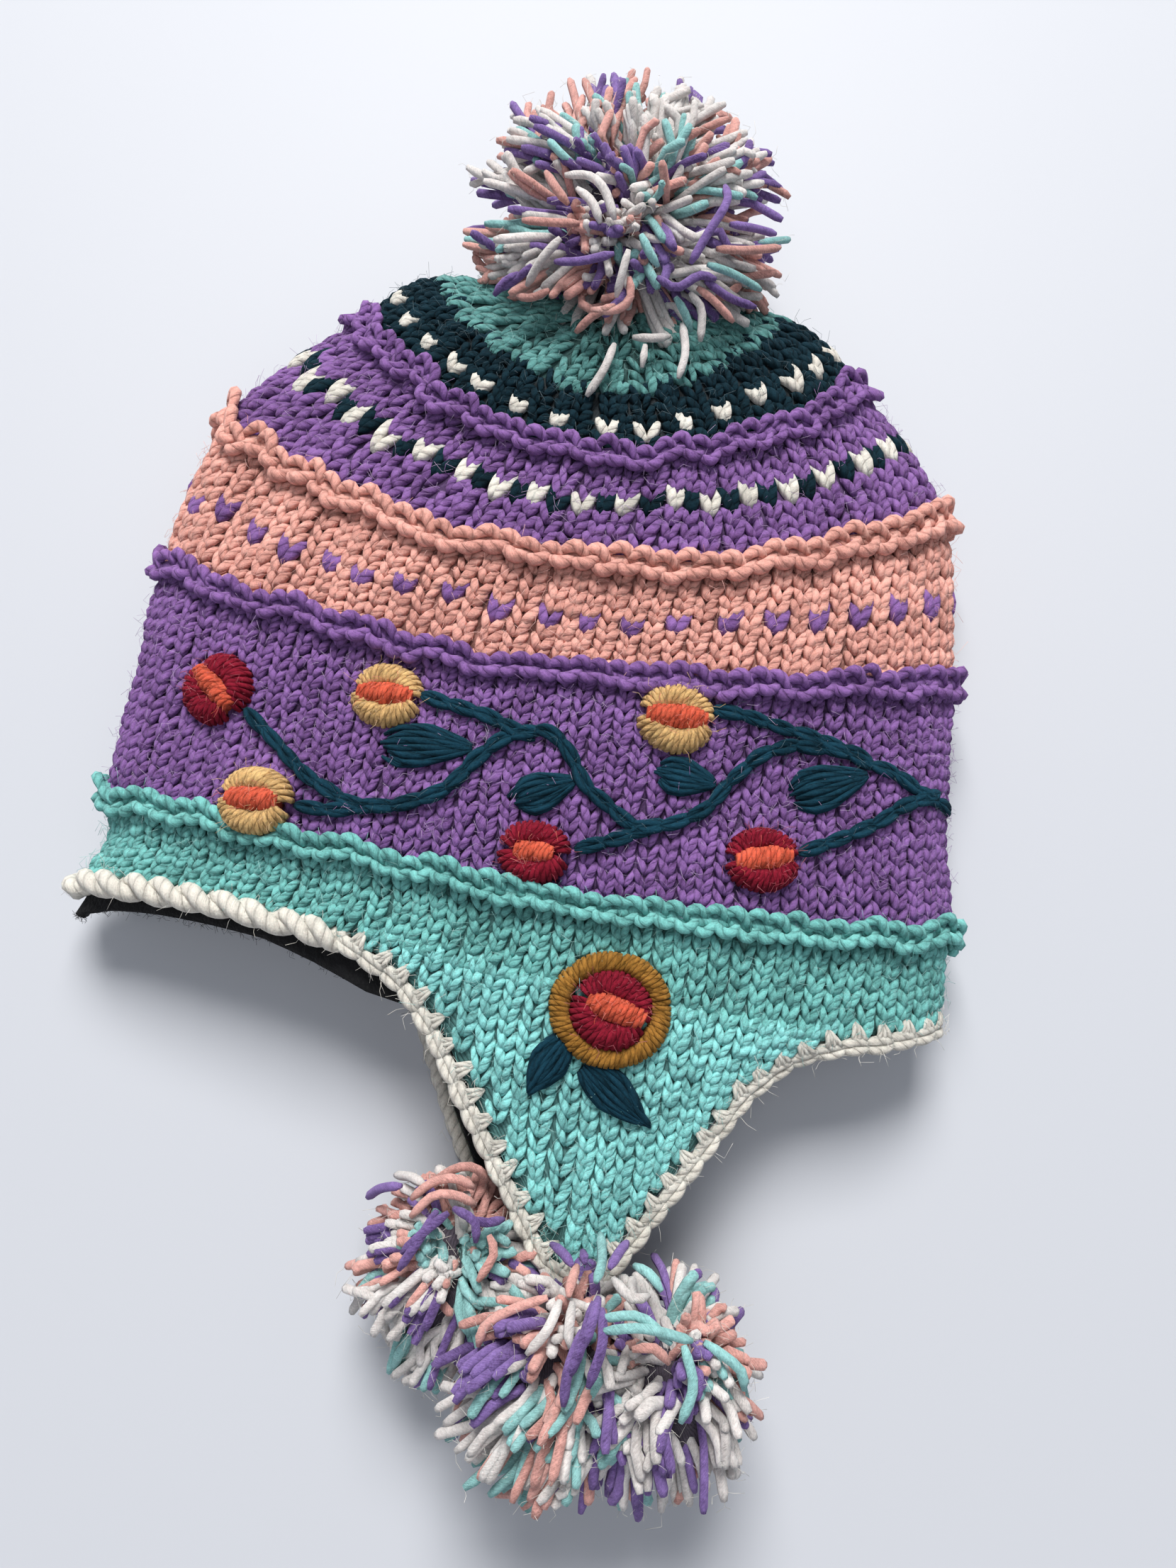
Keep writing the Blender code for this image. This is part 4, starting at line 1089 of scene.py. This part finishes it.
def make_lining():
    yarn = Yarn("fleece_lining")
    degrees = np.arange(180) * 2.0
    lips = np.interp(degrees, (0, 88, 98, 104, 112, 120, 168, 178, 186, 360),
                     (0, 0.8, 1.6, 1.6, 1.25, 1.0, 1.0, 0.75, 0.0, 0.0))
    lip_rows = -(EDGING_DIAMETER + 2 * CLEARANCE + LIP_SHOWING) / (3.55 * MM) * lips
    share = np.linspace(0, 1, 9)[:, None]
    rows = lip_rows[None, :] + (12.1 - lip_rows[None, :]) * share**1.4
    turns = np.broadcast_to(np.radians(degrees)[None, :], rows.shape)
    points = body_points(rows, turns)
    ahead = body_points(rows + 0.4, turns)
    around = body_points(rows, turns + 0.03)
    normals = unit(np.cross(ahead - points, around - points))
    face = -KNIT_WALL - CLEARANCE
    pile = rng.normal(0, 0.25 * MM, rows.shape)[..., None]
    outer = points + normals * (face + np.minimum(pile, 0))
    inner = points + normals * (face - LINING_WALL + pile)
    yarn.skin(outer, inner)
    lip = rng.integers(54, 88, 160)
    yarn.hairs((outer[0, lip] + inner[0, lip]) / 2, -unit(points[1, lip] - points[0, lip]),
               HAIR_LENGTH * 0.5, 1)
    yarn.build([FLEECE_WOOL, HAIRS["black"]], "lining", ("lining",))


def make_flap_lining(side):
    surface = FLAPS[side]
    yarn = Yarn(f"flap_fleece_{side}")
    u, v = np.meshgrid(np.linspace(0, 1, 26), np.linspace(0, 1, 26), indexing="ij")
    face = -KNIT_WALL - CLEARANCE
    outer, _ = surface.lay(u, v, face)
    inner, _ = surface.lay(u, v, face - LINING_WALL + rng.normal(0, 0.2 * MM, u.shape))
    slab(yarn, outer, inner, 0)
    yarn.build([FLEECE_WOOL], f"flap_lining_{side}", (f"flap_lining_{side}",))


FLEECE_WOOL = fleece("black_fleece")
make_lining()
make_flap_lining("near")
make_flap_lining("far")


# Pompoms

APEX = body_points(np.array([CROWN_END]), np.array([0.0]))[0]
NEAR_END = FLAPS["near"].points[-1, 30]
FAR_END = FLAPS["far"].points[-1, 30]
POMPOM_WOOLS = ("white", "violet", "aqua", "salmon")
POMPOM_SHARES = (0.43, 0.19, 0.16, 0.22)


STRAND_PLACES = np.array((0.0, 0.25, 0.45, 0.63, 0.80, 0.96, 1.0))
STRAND_THICKNESS = np.array((0.75, 0.95, 1.0, 1.0, 1.04, 1.02, 0.66))
STRAND_RADIUS = 1.28 * MM


def spread_over_ball(count):
    """Evenly spread directions, with a little disorder."""
    k = np.arange(count) + 0.5
    rise = 1 - 2 * k / count
    rise = np.sign(rise) * np.abs(rise) ** 0.8
    turn = k * math.pi * (3 - math.sqrt(5))
    flat = np.sqrt(1 - rise**2)
    ways = np.stack([flat * np.cos(turn), flat * np.sin(turn), rise], -1)
    return unit(ways + rng.normal(0, 0.05, (count, 3)))


def bunch(yarn, centre, half, pole, count, arch, parting, ragged, lowest=-0.65):
    """Strands tied inside that arch away from the pole and end on a round, ragged outline."""
    half = np.asarray(half) * MM
    pole = unit(np.asarray(pole, dtype=float))
    ways = spread_over_ball(count)
    ways = ways[ways[:, 2] > lowest]
    count = len(ways)
    tufts = spread_over_ball(count // 8)
    nearest = np.argmax(ways @ tufts.T, axis=1)
    wools = rng.choice(4, size=len(tufts), p=POMPOM_SHARES)[nearest]
    stray = rng.random(count) < 0.30
    wools[stray] = rng.choice(4, size=stray.sum(), p=POMPOM_SHARES)
    ways = unit(ways * 0.80 + tufts[nearest] * 0.20)
    lean = rng.normal(0, parting, (len(tufts), 3))[nearest] + rng.normal(0, 0.15, (count, 3))
    short = rng.normal(0, 0.07, (len(tufts), 1))[nearest]
    reach = 1.0 - np.abs(short + rng.normal(0, ragged, (count, 1)))
    reach[rng.random(count) < 0.16] *= 0.84
    arching = arch * rng.uniform(0.6, 1.3, (count, 1))
    start = unit(ways * 0.8 + pole * 0.5) * 0.26
    poles = unit(pole + rng.normal(0, parting, (len(tufts), 3)))[nearest]
    knee = unit(ways + poles * arching + lean * 0.6) * reach * rng.uniform(0.70, 0.88, (count, 1))
    tip = unit(ways + lean * 0.45) * reach
    t = STRAND_PLACES[None, :, None]
    paths = (start[:, None] * (1 - t) ** 2 + knee[:, None] * 2 * t * (1 - t) + tip[:, None] * t**2)
    wave = rng.normal(0, 0.045, (count, 1, 3)) * np.sin(t * rng.uniform(4, 8, (count, 1, 1)))
    paths = centre + (paths + wave) * half
    floor = 1.8 * MM
    sunk = np.maximum(floor - paths[..., 2], 0.0)
    paths[..., 2] += sunk * 1.12
    radii = STRAND_RADIUS * STRAND_THICKNESS[None, :] * (1 + rng.normal(0, 0.08, (count, 1)))
    yarn.tubes(paths, radii, np.broadcast_to(np.array([0.12, 0.21, 0.97]), paths.shape), 6,
               material=wools)
    polar, azimuth = np.meshgrid(
        np.linspace(0.05, math.pi - 0.05, 12), np.arange(20) / 20 * 2 * math.pi, indexing="ij",
    )
    ball = np.stack([
        np.sin(polar) * np.cos(azimuth), np.sin(polar) * np.sin(azimuth), np.cos(polar),
    ], -1) * half
    # A dark ball inside the strands, material 4: painted shade for the deep gaps between them.
    yarn.skin(centre + ball * 0.58, centre + ball * 0.3, 4)
    chosen = rng.integers(0, count, int(count * 2.2))
    place = rng.integers(2, 7, len(chosen))
    yarn.hairs(paths[chosen, place], ways[chosen], HAIR_LENGTH * 0.9, 5)


def loose_strands(yarn, strands, sunk=0.0):
    """Single strands, listed one by one: a wool, then its places in mm."""
    for wool_number, corners in strands:
        path = smooth_line(np.asarray(corners, dtype=float) * MM, 2.4 * MM)
        path[:, 2] -= sunk * MM
        share = np.linspace(0, 1, len(path))
        thick = np.interp(share, (0, 0.06, 0.9, 0.98, 1), (0.6, 1, 1.03, 0.9, 0.5)) * STRAND_RADIUS
        up = np.broadcast_to([0.1, 0.2, 0.97], (1, len(path), 3))
        yarn.tubes(path[None], thick[None], up, 6, material=wool_number)


def finish_pompom(yarn, name):
    wools = [WOOLS[each] for each in POMPOM_WOOLS]
    yarn.build([*wools, WOOLS["violet_core"], HAIRS["cream"]], name, (name,))


# Dark wool for the ball inside each pompom: painted shade, the depth between the strands.
WOOLS["violet_core"] = wool("pompom_shadow_core", (0.10, 0.08, 0.11))


# Single strands, listed one by one: which wool, then places in mm
TOP_STRANDS = (
    (0, ((-14, 142, 74), (-7, 141, 76), (-2, 137, 76), (2, 130, 73))),
    (0, ((-10, 138, 74), (-5, 134, 74), (-2, 129, 72))),
    (3, ((-25, 131, 67), (-16, 129, 70), (-8, 129, 71))),
    (3, ((-20, 144, 72), (-16, 138, 73), (-12, 134, 72))),
    (1, ((-14, 120, 65), (-6, 119, 68), (3, 122, 69))),
    (0, ((-13, 125, 69), (-18, 120, 65), (-22, 116, 58))),
    (0, ((7, 123, 70), (6, 117, 67), (5, 113, 62))),
    (2, ((10, 127, 72), (13, 123, 70), (16, 121, 67))),
    (1, ((16, 119, 65), (22, 117, 64), (28, 122, 64), (33, 123, 62))),
    (1, ((30, 122, 62), (38, 121, 57), (46, 122, 53))),
    (2, ((30, 126, 64), (38, 127, 60), (47, 128, 53))),
    (3, ((28, 120, 61), (33, 119, 58), (40, 116, 53))),
    (0, ((26, 118, 61), (30, 116, 57), (31, 108, 53))),
    (2, ((22, 116, 61), (25, 114, 58), (28, 111, 53))),
    (0, ((25, 112, 55), (27, 103, 54), (26, 95, 53))),
    (0, ((6, 103, 54), (4, 94, 54), (0, 86, 52))),
    (0, ((11, 106, 54), (18, 106, 55), (22, 108, 54))),
    (0, ((15, 104, 54), (15, 97, 53))),
    (3, ((-2, 110, 59), (5, 110, 60), (9, 113, 62), (8, 118, 65))),
    (3, ((-6, 106, 53), (-1, 109, 58), (5, 111, 61))),
    (3, ((32, 130, 66), (41, 134, 62), (51, 142, 55))),
    (1, ((35, 138, 67), (42, 141, 63), (49, 144, 58))),
    (1, ((32, 149, 69), (33, 141, 72), (29, 132, 70), (25, 124, 66))),
    (1, ((-25, 119, 59), (-29, 118, 56), (-32, 115, 53))),
    (1, ((-21, 120, 62), (-26, 118, 57), (-31, 117, 53))),
    (3, ((-15, 114, 60), (-20, 113, 57), (-25, 115, 54))),
)
NEAR_STRANDS = (
    (1, ((37, -156, 59), (36, -161, 64), (35, -166, 65))),
    (1, ((36, -157, 60), (34, -167, 66), (32, -173, 66))),
    (1, ((38, -158, 61), (39, -165, 66), (37, -174, 67))),
    (1, ((34, -163, 63), (32, -171, 66), (32, -179, 65))),
    (2, ((39, -162, 65), (48, -160, 66), (60, -162, 61))),
    (2, ((63, -162, 60), (72, -167, 58), (74, -172, 55))),
    (2, ((58, -163, 62), (61, -171, 64), (59, -179, 64))),
    (2, ((38, -160, 62), (47, -158, 64), (55, -163, 63))),
    (0, ((28, -158, 59), (26, -164, 63), (22, -170, 62))),
    (0, ((31, -158, 59), (31, -164, 64), (32, -167, 64))),
    (3, ((25, -158, 57), (17, -162, 56), (11, -167, 54), (10, -172, 52))),
    (3, ((46, -165, 65), (51, -164, 65), (55, -167, 64))),
    (3, ((31, -151, 50), (30, -155, 56), (30, -157, 58))),
    (1, ((24, -148, 42), (27, -149, 46), (30, -151, 51))),
    (1, ((32, -148, 46), (33, -150, 51))),
    (2, ((36, -144, 41), (37, -149, 50), (36, -153, 57))),
    (1, ((43, -145, 41), (41, -147, 47), (39, -150, 53))),
    (0, ((40, -152, 55), (45, -155, 60), (49, -154, 58))),
    (2, ((45, -149, 50), (49, -150, 54), (52, -153, 56))),
)
FAR_STRANDS = (
    (1, ((-28, -146, 17), (-23, -142, 29), (-17, -140, 34))),
    (1, ((-3, -144, 42), (-8, -149, 44), (-13, -155, 43))),
    (1, ((2, -145, 41), (7, -145, 42), (11, -144, 38))),
    (1, ((-2, -143, 40), (4, -145, 43), (5, -150, 42))),
    (3, ((-14, -143, 33), (-9, -138, 36), (-3, -136, 37), (2, -138, 34))),
    (3, ((-13, -147, 36), (-8, -141, 38), (-2, -140, 38), (3, -142, 35))),
    (3, ((-10, -139, 30), (-4, -134, 33), (1, -133, 33), (5, -136, 29))),
    (0, ((-21, -139, 20), (-15, -138, 30), (-11, -139, 34))),
    (3, ((8, -148, 41), (10, -152, 42), (7, -159, 42))),
    (1, ((-6, -144, 41), (-9, -151, 44), (-13, -159, 43))),
)


# Each pompom: the end that carries it, its single strands and how deep they sink, and its lobes.
# A lobe: its middle from that end and its half sizes, both in mm, the way its strands part, how
# many they are, how far they arch, how much its tufts part, and how ragged it is
POMPOMS = {
    "pompom_top": (APEX, TOP_STRANDS, 1.5, (
        ((-2.5, 30, -3), (52, 49, 34), (0.05, -0.50, 0.87), 1280, 0.55, 0.42, 0.11),
    )),
    "pompom_near": (NEAR_END, NEAR_STRANDS, 2.0, (
        ((-3, -26, 1), (29, 31, 30), (0.57, 0.68, 0.46), 560, 1.0, 0.28, 0.10),
        ((25, -24, 1), (25, 30, 29), (0.05, 0.70, 0.71), 480, 1.0, 0.28, 0.10),
    )),
    "pompom_far": (FAR_END, FAR_STRANDS, 0.0, (
        ((-11, -22, 18), (29, 29, 22), (0.25, 0.75, 0.61), 490, 1.0, 0.28, 0.10),
    )),
}


def make_pompoms():
    for name, (end, strands, sunk, lobes) in POMPOMS.items():
        yarn = Yarn(f"{name}_strands")
        for place, half, pole, count, arch, parting, ragged in lobes:
            bunch(yarn, end + np.array(place) * MM, half, pole, count, arch, parting, ragged)
        loose_strands(yarn, strands, sunk)
        finish_pompom(yarn, name)


make_pompoms()


# Embroidery

CHART_RIM = -77.0


def charted(corners):
    """Places of the embroidery chart on the hat, x and y."""
    corners = np.asarray(corners, dtype=float)
    return np.stack([corners[..., 0], corners[..., 1] + CHART_RIM], -1) * MM


def surface_route(flat, height=0.0, closed=False):
    points, normals = on_top(flat, height)
    return Route(points, normals, closed)


FLOWERS = (
    ("flower_1", -91, 62, "crimson", 20.3, 19.6, -42, 15.5, 6.0, 0.0),
    ("flower_2", -42, 65, "yellow", 20.4, 17.4, 1, 15.5, 6.4, 0.0),
    ("flower_3", -72, 31, "yellow", 21.0, 17.6, 2, 14.5, 6.4, 2.4),
    ("flower_4", 5, 27, "crimson", 20.0, 16.0, 4, 10.5, 5.4, 1.2),
    ("flower_5", 38, 69, "yellow", 21.6, 18.6, 4, 16.5, 6.8, 0.0),
    ("flower_6", 66, 34, "crimson", 20.5, 16.6, 14, 15.5, 6.2, 0.8),
)
FLAP_FLOWER = (31, -11, -12)
LONG_STEM = (
    (-80, 56), (-68, 46), (-59, 39), (-47, 34), (-36, 34), (-28, 37), (-20, 42),
    (-14, 50), (-7, 57), (1, 60), (6, 59), (11, 54), (16, 47), (22, 43), (28, 39),
    (33, 38), (40, 40), (47, 44), (51, 48), (54, 53), (58, 58), (63, 63), (71, 67),
    (79, 68), (86, 68), (93, 66), (100, 65), (107, 62), (113, 60), (119, 59),
)
SHORT_STEMS = {
    "stem_2": ((-31, 66), (-22, 64), (-13, 62), (-4, 59)),
    "stem_3": ((-60, 31), (-51, 31), (-43, 33)),
    "stem_4": ((17, 30), (22, 32), (29, 35), (34, 38)),
    "stem_5": ((49, 73), (56, 73), (63, 72), (72, 71), (79, 70), (88, 68)),
    "stem_6": ((77, 38), (81, 40), (90, 45), (96, 49), (103, 55), (111, 60)),
}
LEAVES = (
    ("leaf_1", -16, 53, -39, 51, 11.5, "blunt"), ("leaf_2", 13, 48, -2, 40, 10.0, "blunt"),
    ("leaf_3", 51, 53, 36, 53.5, 9.5, "blunt"), ("leaf_4", 93, 63, 73, 53, 12.0, "blunt"),
    ("flap_leaf_left", 20, -20, 13, -34, 9.0, "pointed"),
    ("flap_leaf_right", 26, -26, 44, -38, 9.5, "pointed"),
)
LEAF_SHAPES = {
    "blunt": ((0.0, 0.12), (0.28, 0.55), (0.58, 0.95), (0.84, 0.95), (1.0, 0.55)),
    "pointed": ((0.0, 0.45), (0.22, 0.85), (0.48, 1.0), (0.76, 0.62), (1.0, 0.12)),
}


def ellipse(middle, length, width, degrees, first, last, count):
    turn = math.radians(degrees)
    angle = np.radians(np.linspace(first, last, count))
    x, y = np.cos(angle) * length / 2 * MM, np.sin(angle) * width / 2 * MM
    return middle + np.stack([x * math.cos(turn) - y * math.sin(turn),
                              x * math.sin(turn) + y * math.cos(turn)], -1)


RIB_PITCH = 1.25 * MM
RIB_RADIUS = 0.88 * MM


def make_arcs(name, middle, length, width, petal, rise, degrees, colour, gap=8, lift=0.0):
    """Two fat coils that curve round a heart, one on each side."""
    yarn = Yarn(f"{name}_coils")
    for first, lean in ((0, -5), (180, -5)):
        path = ellipse(middle, length - petal, width - petal, degrees + lean, first + gap,
                       first + 180 - gap, 26)
        route = surface_route(path, lift * MM)
        coil(yarn, route, 0, route.length, petal * MM, rise * MM, RIB_PITCH, RIB_RADIUS, taper=0.72)
        places = rng.uniform(0, route.length, 50)
        points, normals = route.lay(places, rng.uniform(-0.5, 0.5, 50) * petal * MM, rise * 0.8 * MM)
        yarn.hairs(points, normals, HAIR_LENGTH * 0.7, 1)
    yarn.build([WOOLS[colour], HAIRS[colour]], name, (name,))


def make_heart(name, middle, length, width, rise, degrees, lift=0.0):
    turn = math.radians(degrees)
    way = np.array([math.cos(turn), math.sin(turn)]) * length / 2 * MM
    yarn = Yarn(f"{name}_coil")
    route = surface_route(np.linspace(middle - way, middle + way, 12), lift * MM)
    coil(yarn, route, 0, route.length, width * MM, rise * MM, RIB_PITCH, RIB_RADIUS, taper=0.68)
    places = rng.uniform(0, route.length, 30)
    points, normals = route.lay(places, rng.uniform(-0.5, 0.5, 30) * width * MM, rise * 0.9 * MM)
    yarn.hairs(points, normals, HAIR_LENGTH * 0.6, 1)
    yarn.build([WOOLS["coral"], HAIRS["coral"]], name, (name,))


def make_stem(name, corners):
    """Long chain stitches with plump legs, and a strand that runs between them."""
    yarn = Yarn(f"{name}_chain")
    route = surface_route(smooth_line(charted(corners), 1.5 * MM))
    pitch = 7.6 * MM
    starts = np.arange(0, route.length - 2 * MM, pitch)
    chain(yarn, route, starts, pitch, 1.25 * MM, 1.12 * MM, height=1.1 * MM, sides=6)
    between = np.linspace(0, route.length, max(4, int(route.length / (2 * MM))))
    across = 0.35 * MM * np.sin(between / MM * 0.45)
    path, ups = route.lay(between, across, 1.25 * MM)
    thick = np.interp(between, (0, 3 * MM, route.length - 3 * MM, route.length), (0.4, 1, 1, 0.4))
    yarn.tubes(path[None], thick[None] * 0.95 * MM, ups[None], 6, np.zeros(1))
    hairs = int(route.length / (0.9 * MM))
    places = rng.uniform(0, route.length, hairs)
    points, normals = route.lay(places, rng.uniform(-2.2, 2.2, hairs) * MM, 1.4 * MM)
    yarn.hairs(points, normals, HAIR_LENGTH * 0.7, 1)
    yarn.build([WOOLS["leaf"], HAIRS["leaf"]], name, (name,))


def make_leaf(name, from_x, from_y, to_x, to_y, width, shape):
    """Satin stitches that run lengthwise and fan out with the leaf."""
    yarn = Yarn(f"{name}_satin")
    start, end = charted([(from_x, from_y), (to_x, to_y)])
    along = end - start
    side = np.array([-along[1], along[0]]) / np.linalg.norm(along)
    outline = np.array(LEAF_SHAPES[shape])
    t = np.linspace(0, 1, 12)
    half = np.interp(t, outline[:, 0], outline[:, 1]) * width / 2 * MM
    for layer, count in ((0, 7), (1, 6)):
        spots = np.linspace(-1, 1, count) * (1 - 0.08 * layer)
        flat = (
            start + along * t[None, :, None] * (1 + rng.normal(0, 0.06, count))[:, None, None]
            + side * (spots[:, None] * half[None, :])[..., None]
        )
        swell = np.sin(math.pi * t)[None, :] * (1 - 0.5 * spots**2)[:, None]
        height = 0.35 + layer * 0.5 + 1.1 * swell
        points, normals = on_top(flat, height * MM)
        thick = np.interp(t, (0, 0.1, 0.85, 1), (0.5, 1, 1, 0.5))[None, :] * 0.98 * MM
        yarn.tubes(points, thick * (1 + rng.normal(0, 0.06, count)[:, None]), normals, 6)
    yarn.build([WOOLS["leaf"]], name, (name,))


OUTER_COILS = (
    (-58, 32, 0.0), (28, 96, 1.0), (92, 158, -0.2), (154, 236, 0.9), (232, 304, 0.2),
)


def make_embroidery():
    for name, x, y, colour, length, width, degrees, heart_length, heart_width, lift in FLOWERS:
        middle = charted((x, y))
        petal = (width - heart_width) / 2 + 0.4
        make_arcs(f"{name}_petals", middle, length, width, petal, 4.2, degrees, colour, lift=lift)
        make_heart(f"{name}_heart", middle, heart_length, heart_width, 5.4, degrees, lift)
    x, y, degrees = FLAP_FLOWER
    middle = charted((x, y))
    yarn = Yarn("flap_flower_outer_coils")
    for first, last, wide in OUTER_COILS:
        route = surface_route(ellipse(middle, 26.4 + wide, 24.6 + wide, degrees, first, last, 16))
        coil(yarn, route, 0, route.length, 4.6 * MM, 3.4 * MM, RIB_PITCH, RIB_RADIUS, taper=0.74)
    yarn.build([WOOLS["ochre"]], "flap_flower_outer_petals", ("flap_flower_outer_petals",))
    make_arcs("flap_flower_inner_petals", middle, 22.2, 20.8, 7.4, 5.4, degrees, "crimson", 6)
    make_heart("flap_flower_heart", middle + np.array((1.2, -0.2)) * MM, 15.6, 7.0, 7.0, degrees)
    make_stem("stem_long", LONG_STEM)
    for name, corners in SHORT_STEMS.items():
        make_stem(name, corners)
    for leaf in LEAVES:
        make_leaf(*leaf)


make_embroidery()


# Staging and camera

def camera_and_light():
    scene = bpy.context.scene
    target = Vector((16.5, -28.0, 42.0)) * MM
    away, azimuth, elevation = 326 * MM, math.radians(8), math.radians(76)
    camera = bpy.data.objects.new("camera", bpy.data.cameras.new("camera"))
    scene.collection.objects.link(camera)
    camera.location = target + away * Vector((
        math.cos(elevation) * math.sin(azimuth),
        -math.cos(elevation) * math.cos(azimuth),
        math.sin(elevation),
    ))
    camera.rotation_euler = (target - camera.location).to_track_quat("-Z", "Y").to_euler()
    camera.data.lens = 27.04
    camera.data.sensor_width = 36.0
    camera.data.clip_start = 0.01
    scene.camera = camera
    floor_mesh = bpy.data.meshes.new("floor")
    floor_mesh.from_pydata(
        [(-3, -3, 0), (3, -3, 0), (3, 3, 0), (-3, 3, 0)], [], [(0, 1, 2, 3)]
    )
    floor = bpy.data.objects.new("floor", floor_mesh)
    scene.collection.objects.link(floor)
    material, tree, shader = new_material("pale_table")
    shader.inputs["Base Color"].default_value = (0.490, 0.505, 0.545, 1)
    shader.inputs["Roughness"].default_value = 0.6
    floor_mesh.materials.append(material)
    lights = (
        ("key", (-0.3, 2.2, 2.7), 1.6, 182.0, (1.0, 0.985, 0.96)),
        ("fill", (0.8, -2.8, 2.3), 2.4, 12.0, (0.95, 0.97, 1.0)),
        ("above", (-0.3, -0.7, 3.2), 1.6, 16.0, (0.97, 0.98, 1.0)),
    )
    for name, place, size, power, colour in lights:
        data = bpy.data.lights.new(name, "AREA")
        data.size = size
        data.energy = power
        data.color = colour
        lamp = bpy.data.objects.new(name, data)
        lamp.location = place
        lamp.rotation_euler = (Vector((0, 0, 0.02)) - Vector(place)).to_track_quat("-Z", "Y").to_euler()
        scene.collection.objects.link(lamp)
    world = bpy.data.worlds.new("room")
    world.use_nodes = True
    world.node_tree.nodes["Background"].inputs["Color"].default_value = (0.80, 0.86, 0.96, 1)
    world.node_tree.nodes["Background"].inputs["Strength"].default_value = 0.30
    scene.world = world
    scene.view_settings.view_transform = "Standard"


camera_and_light()
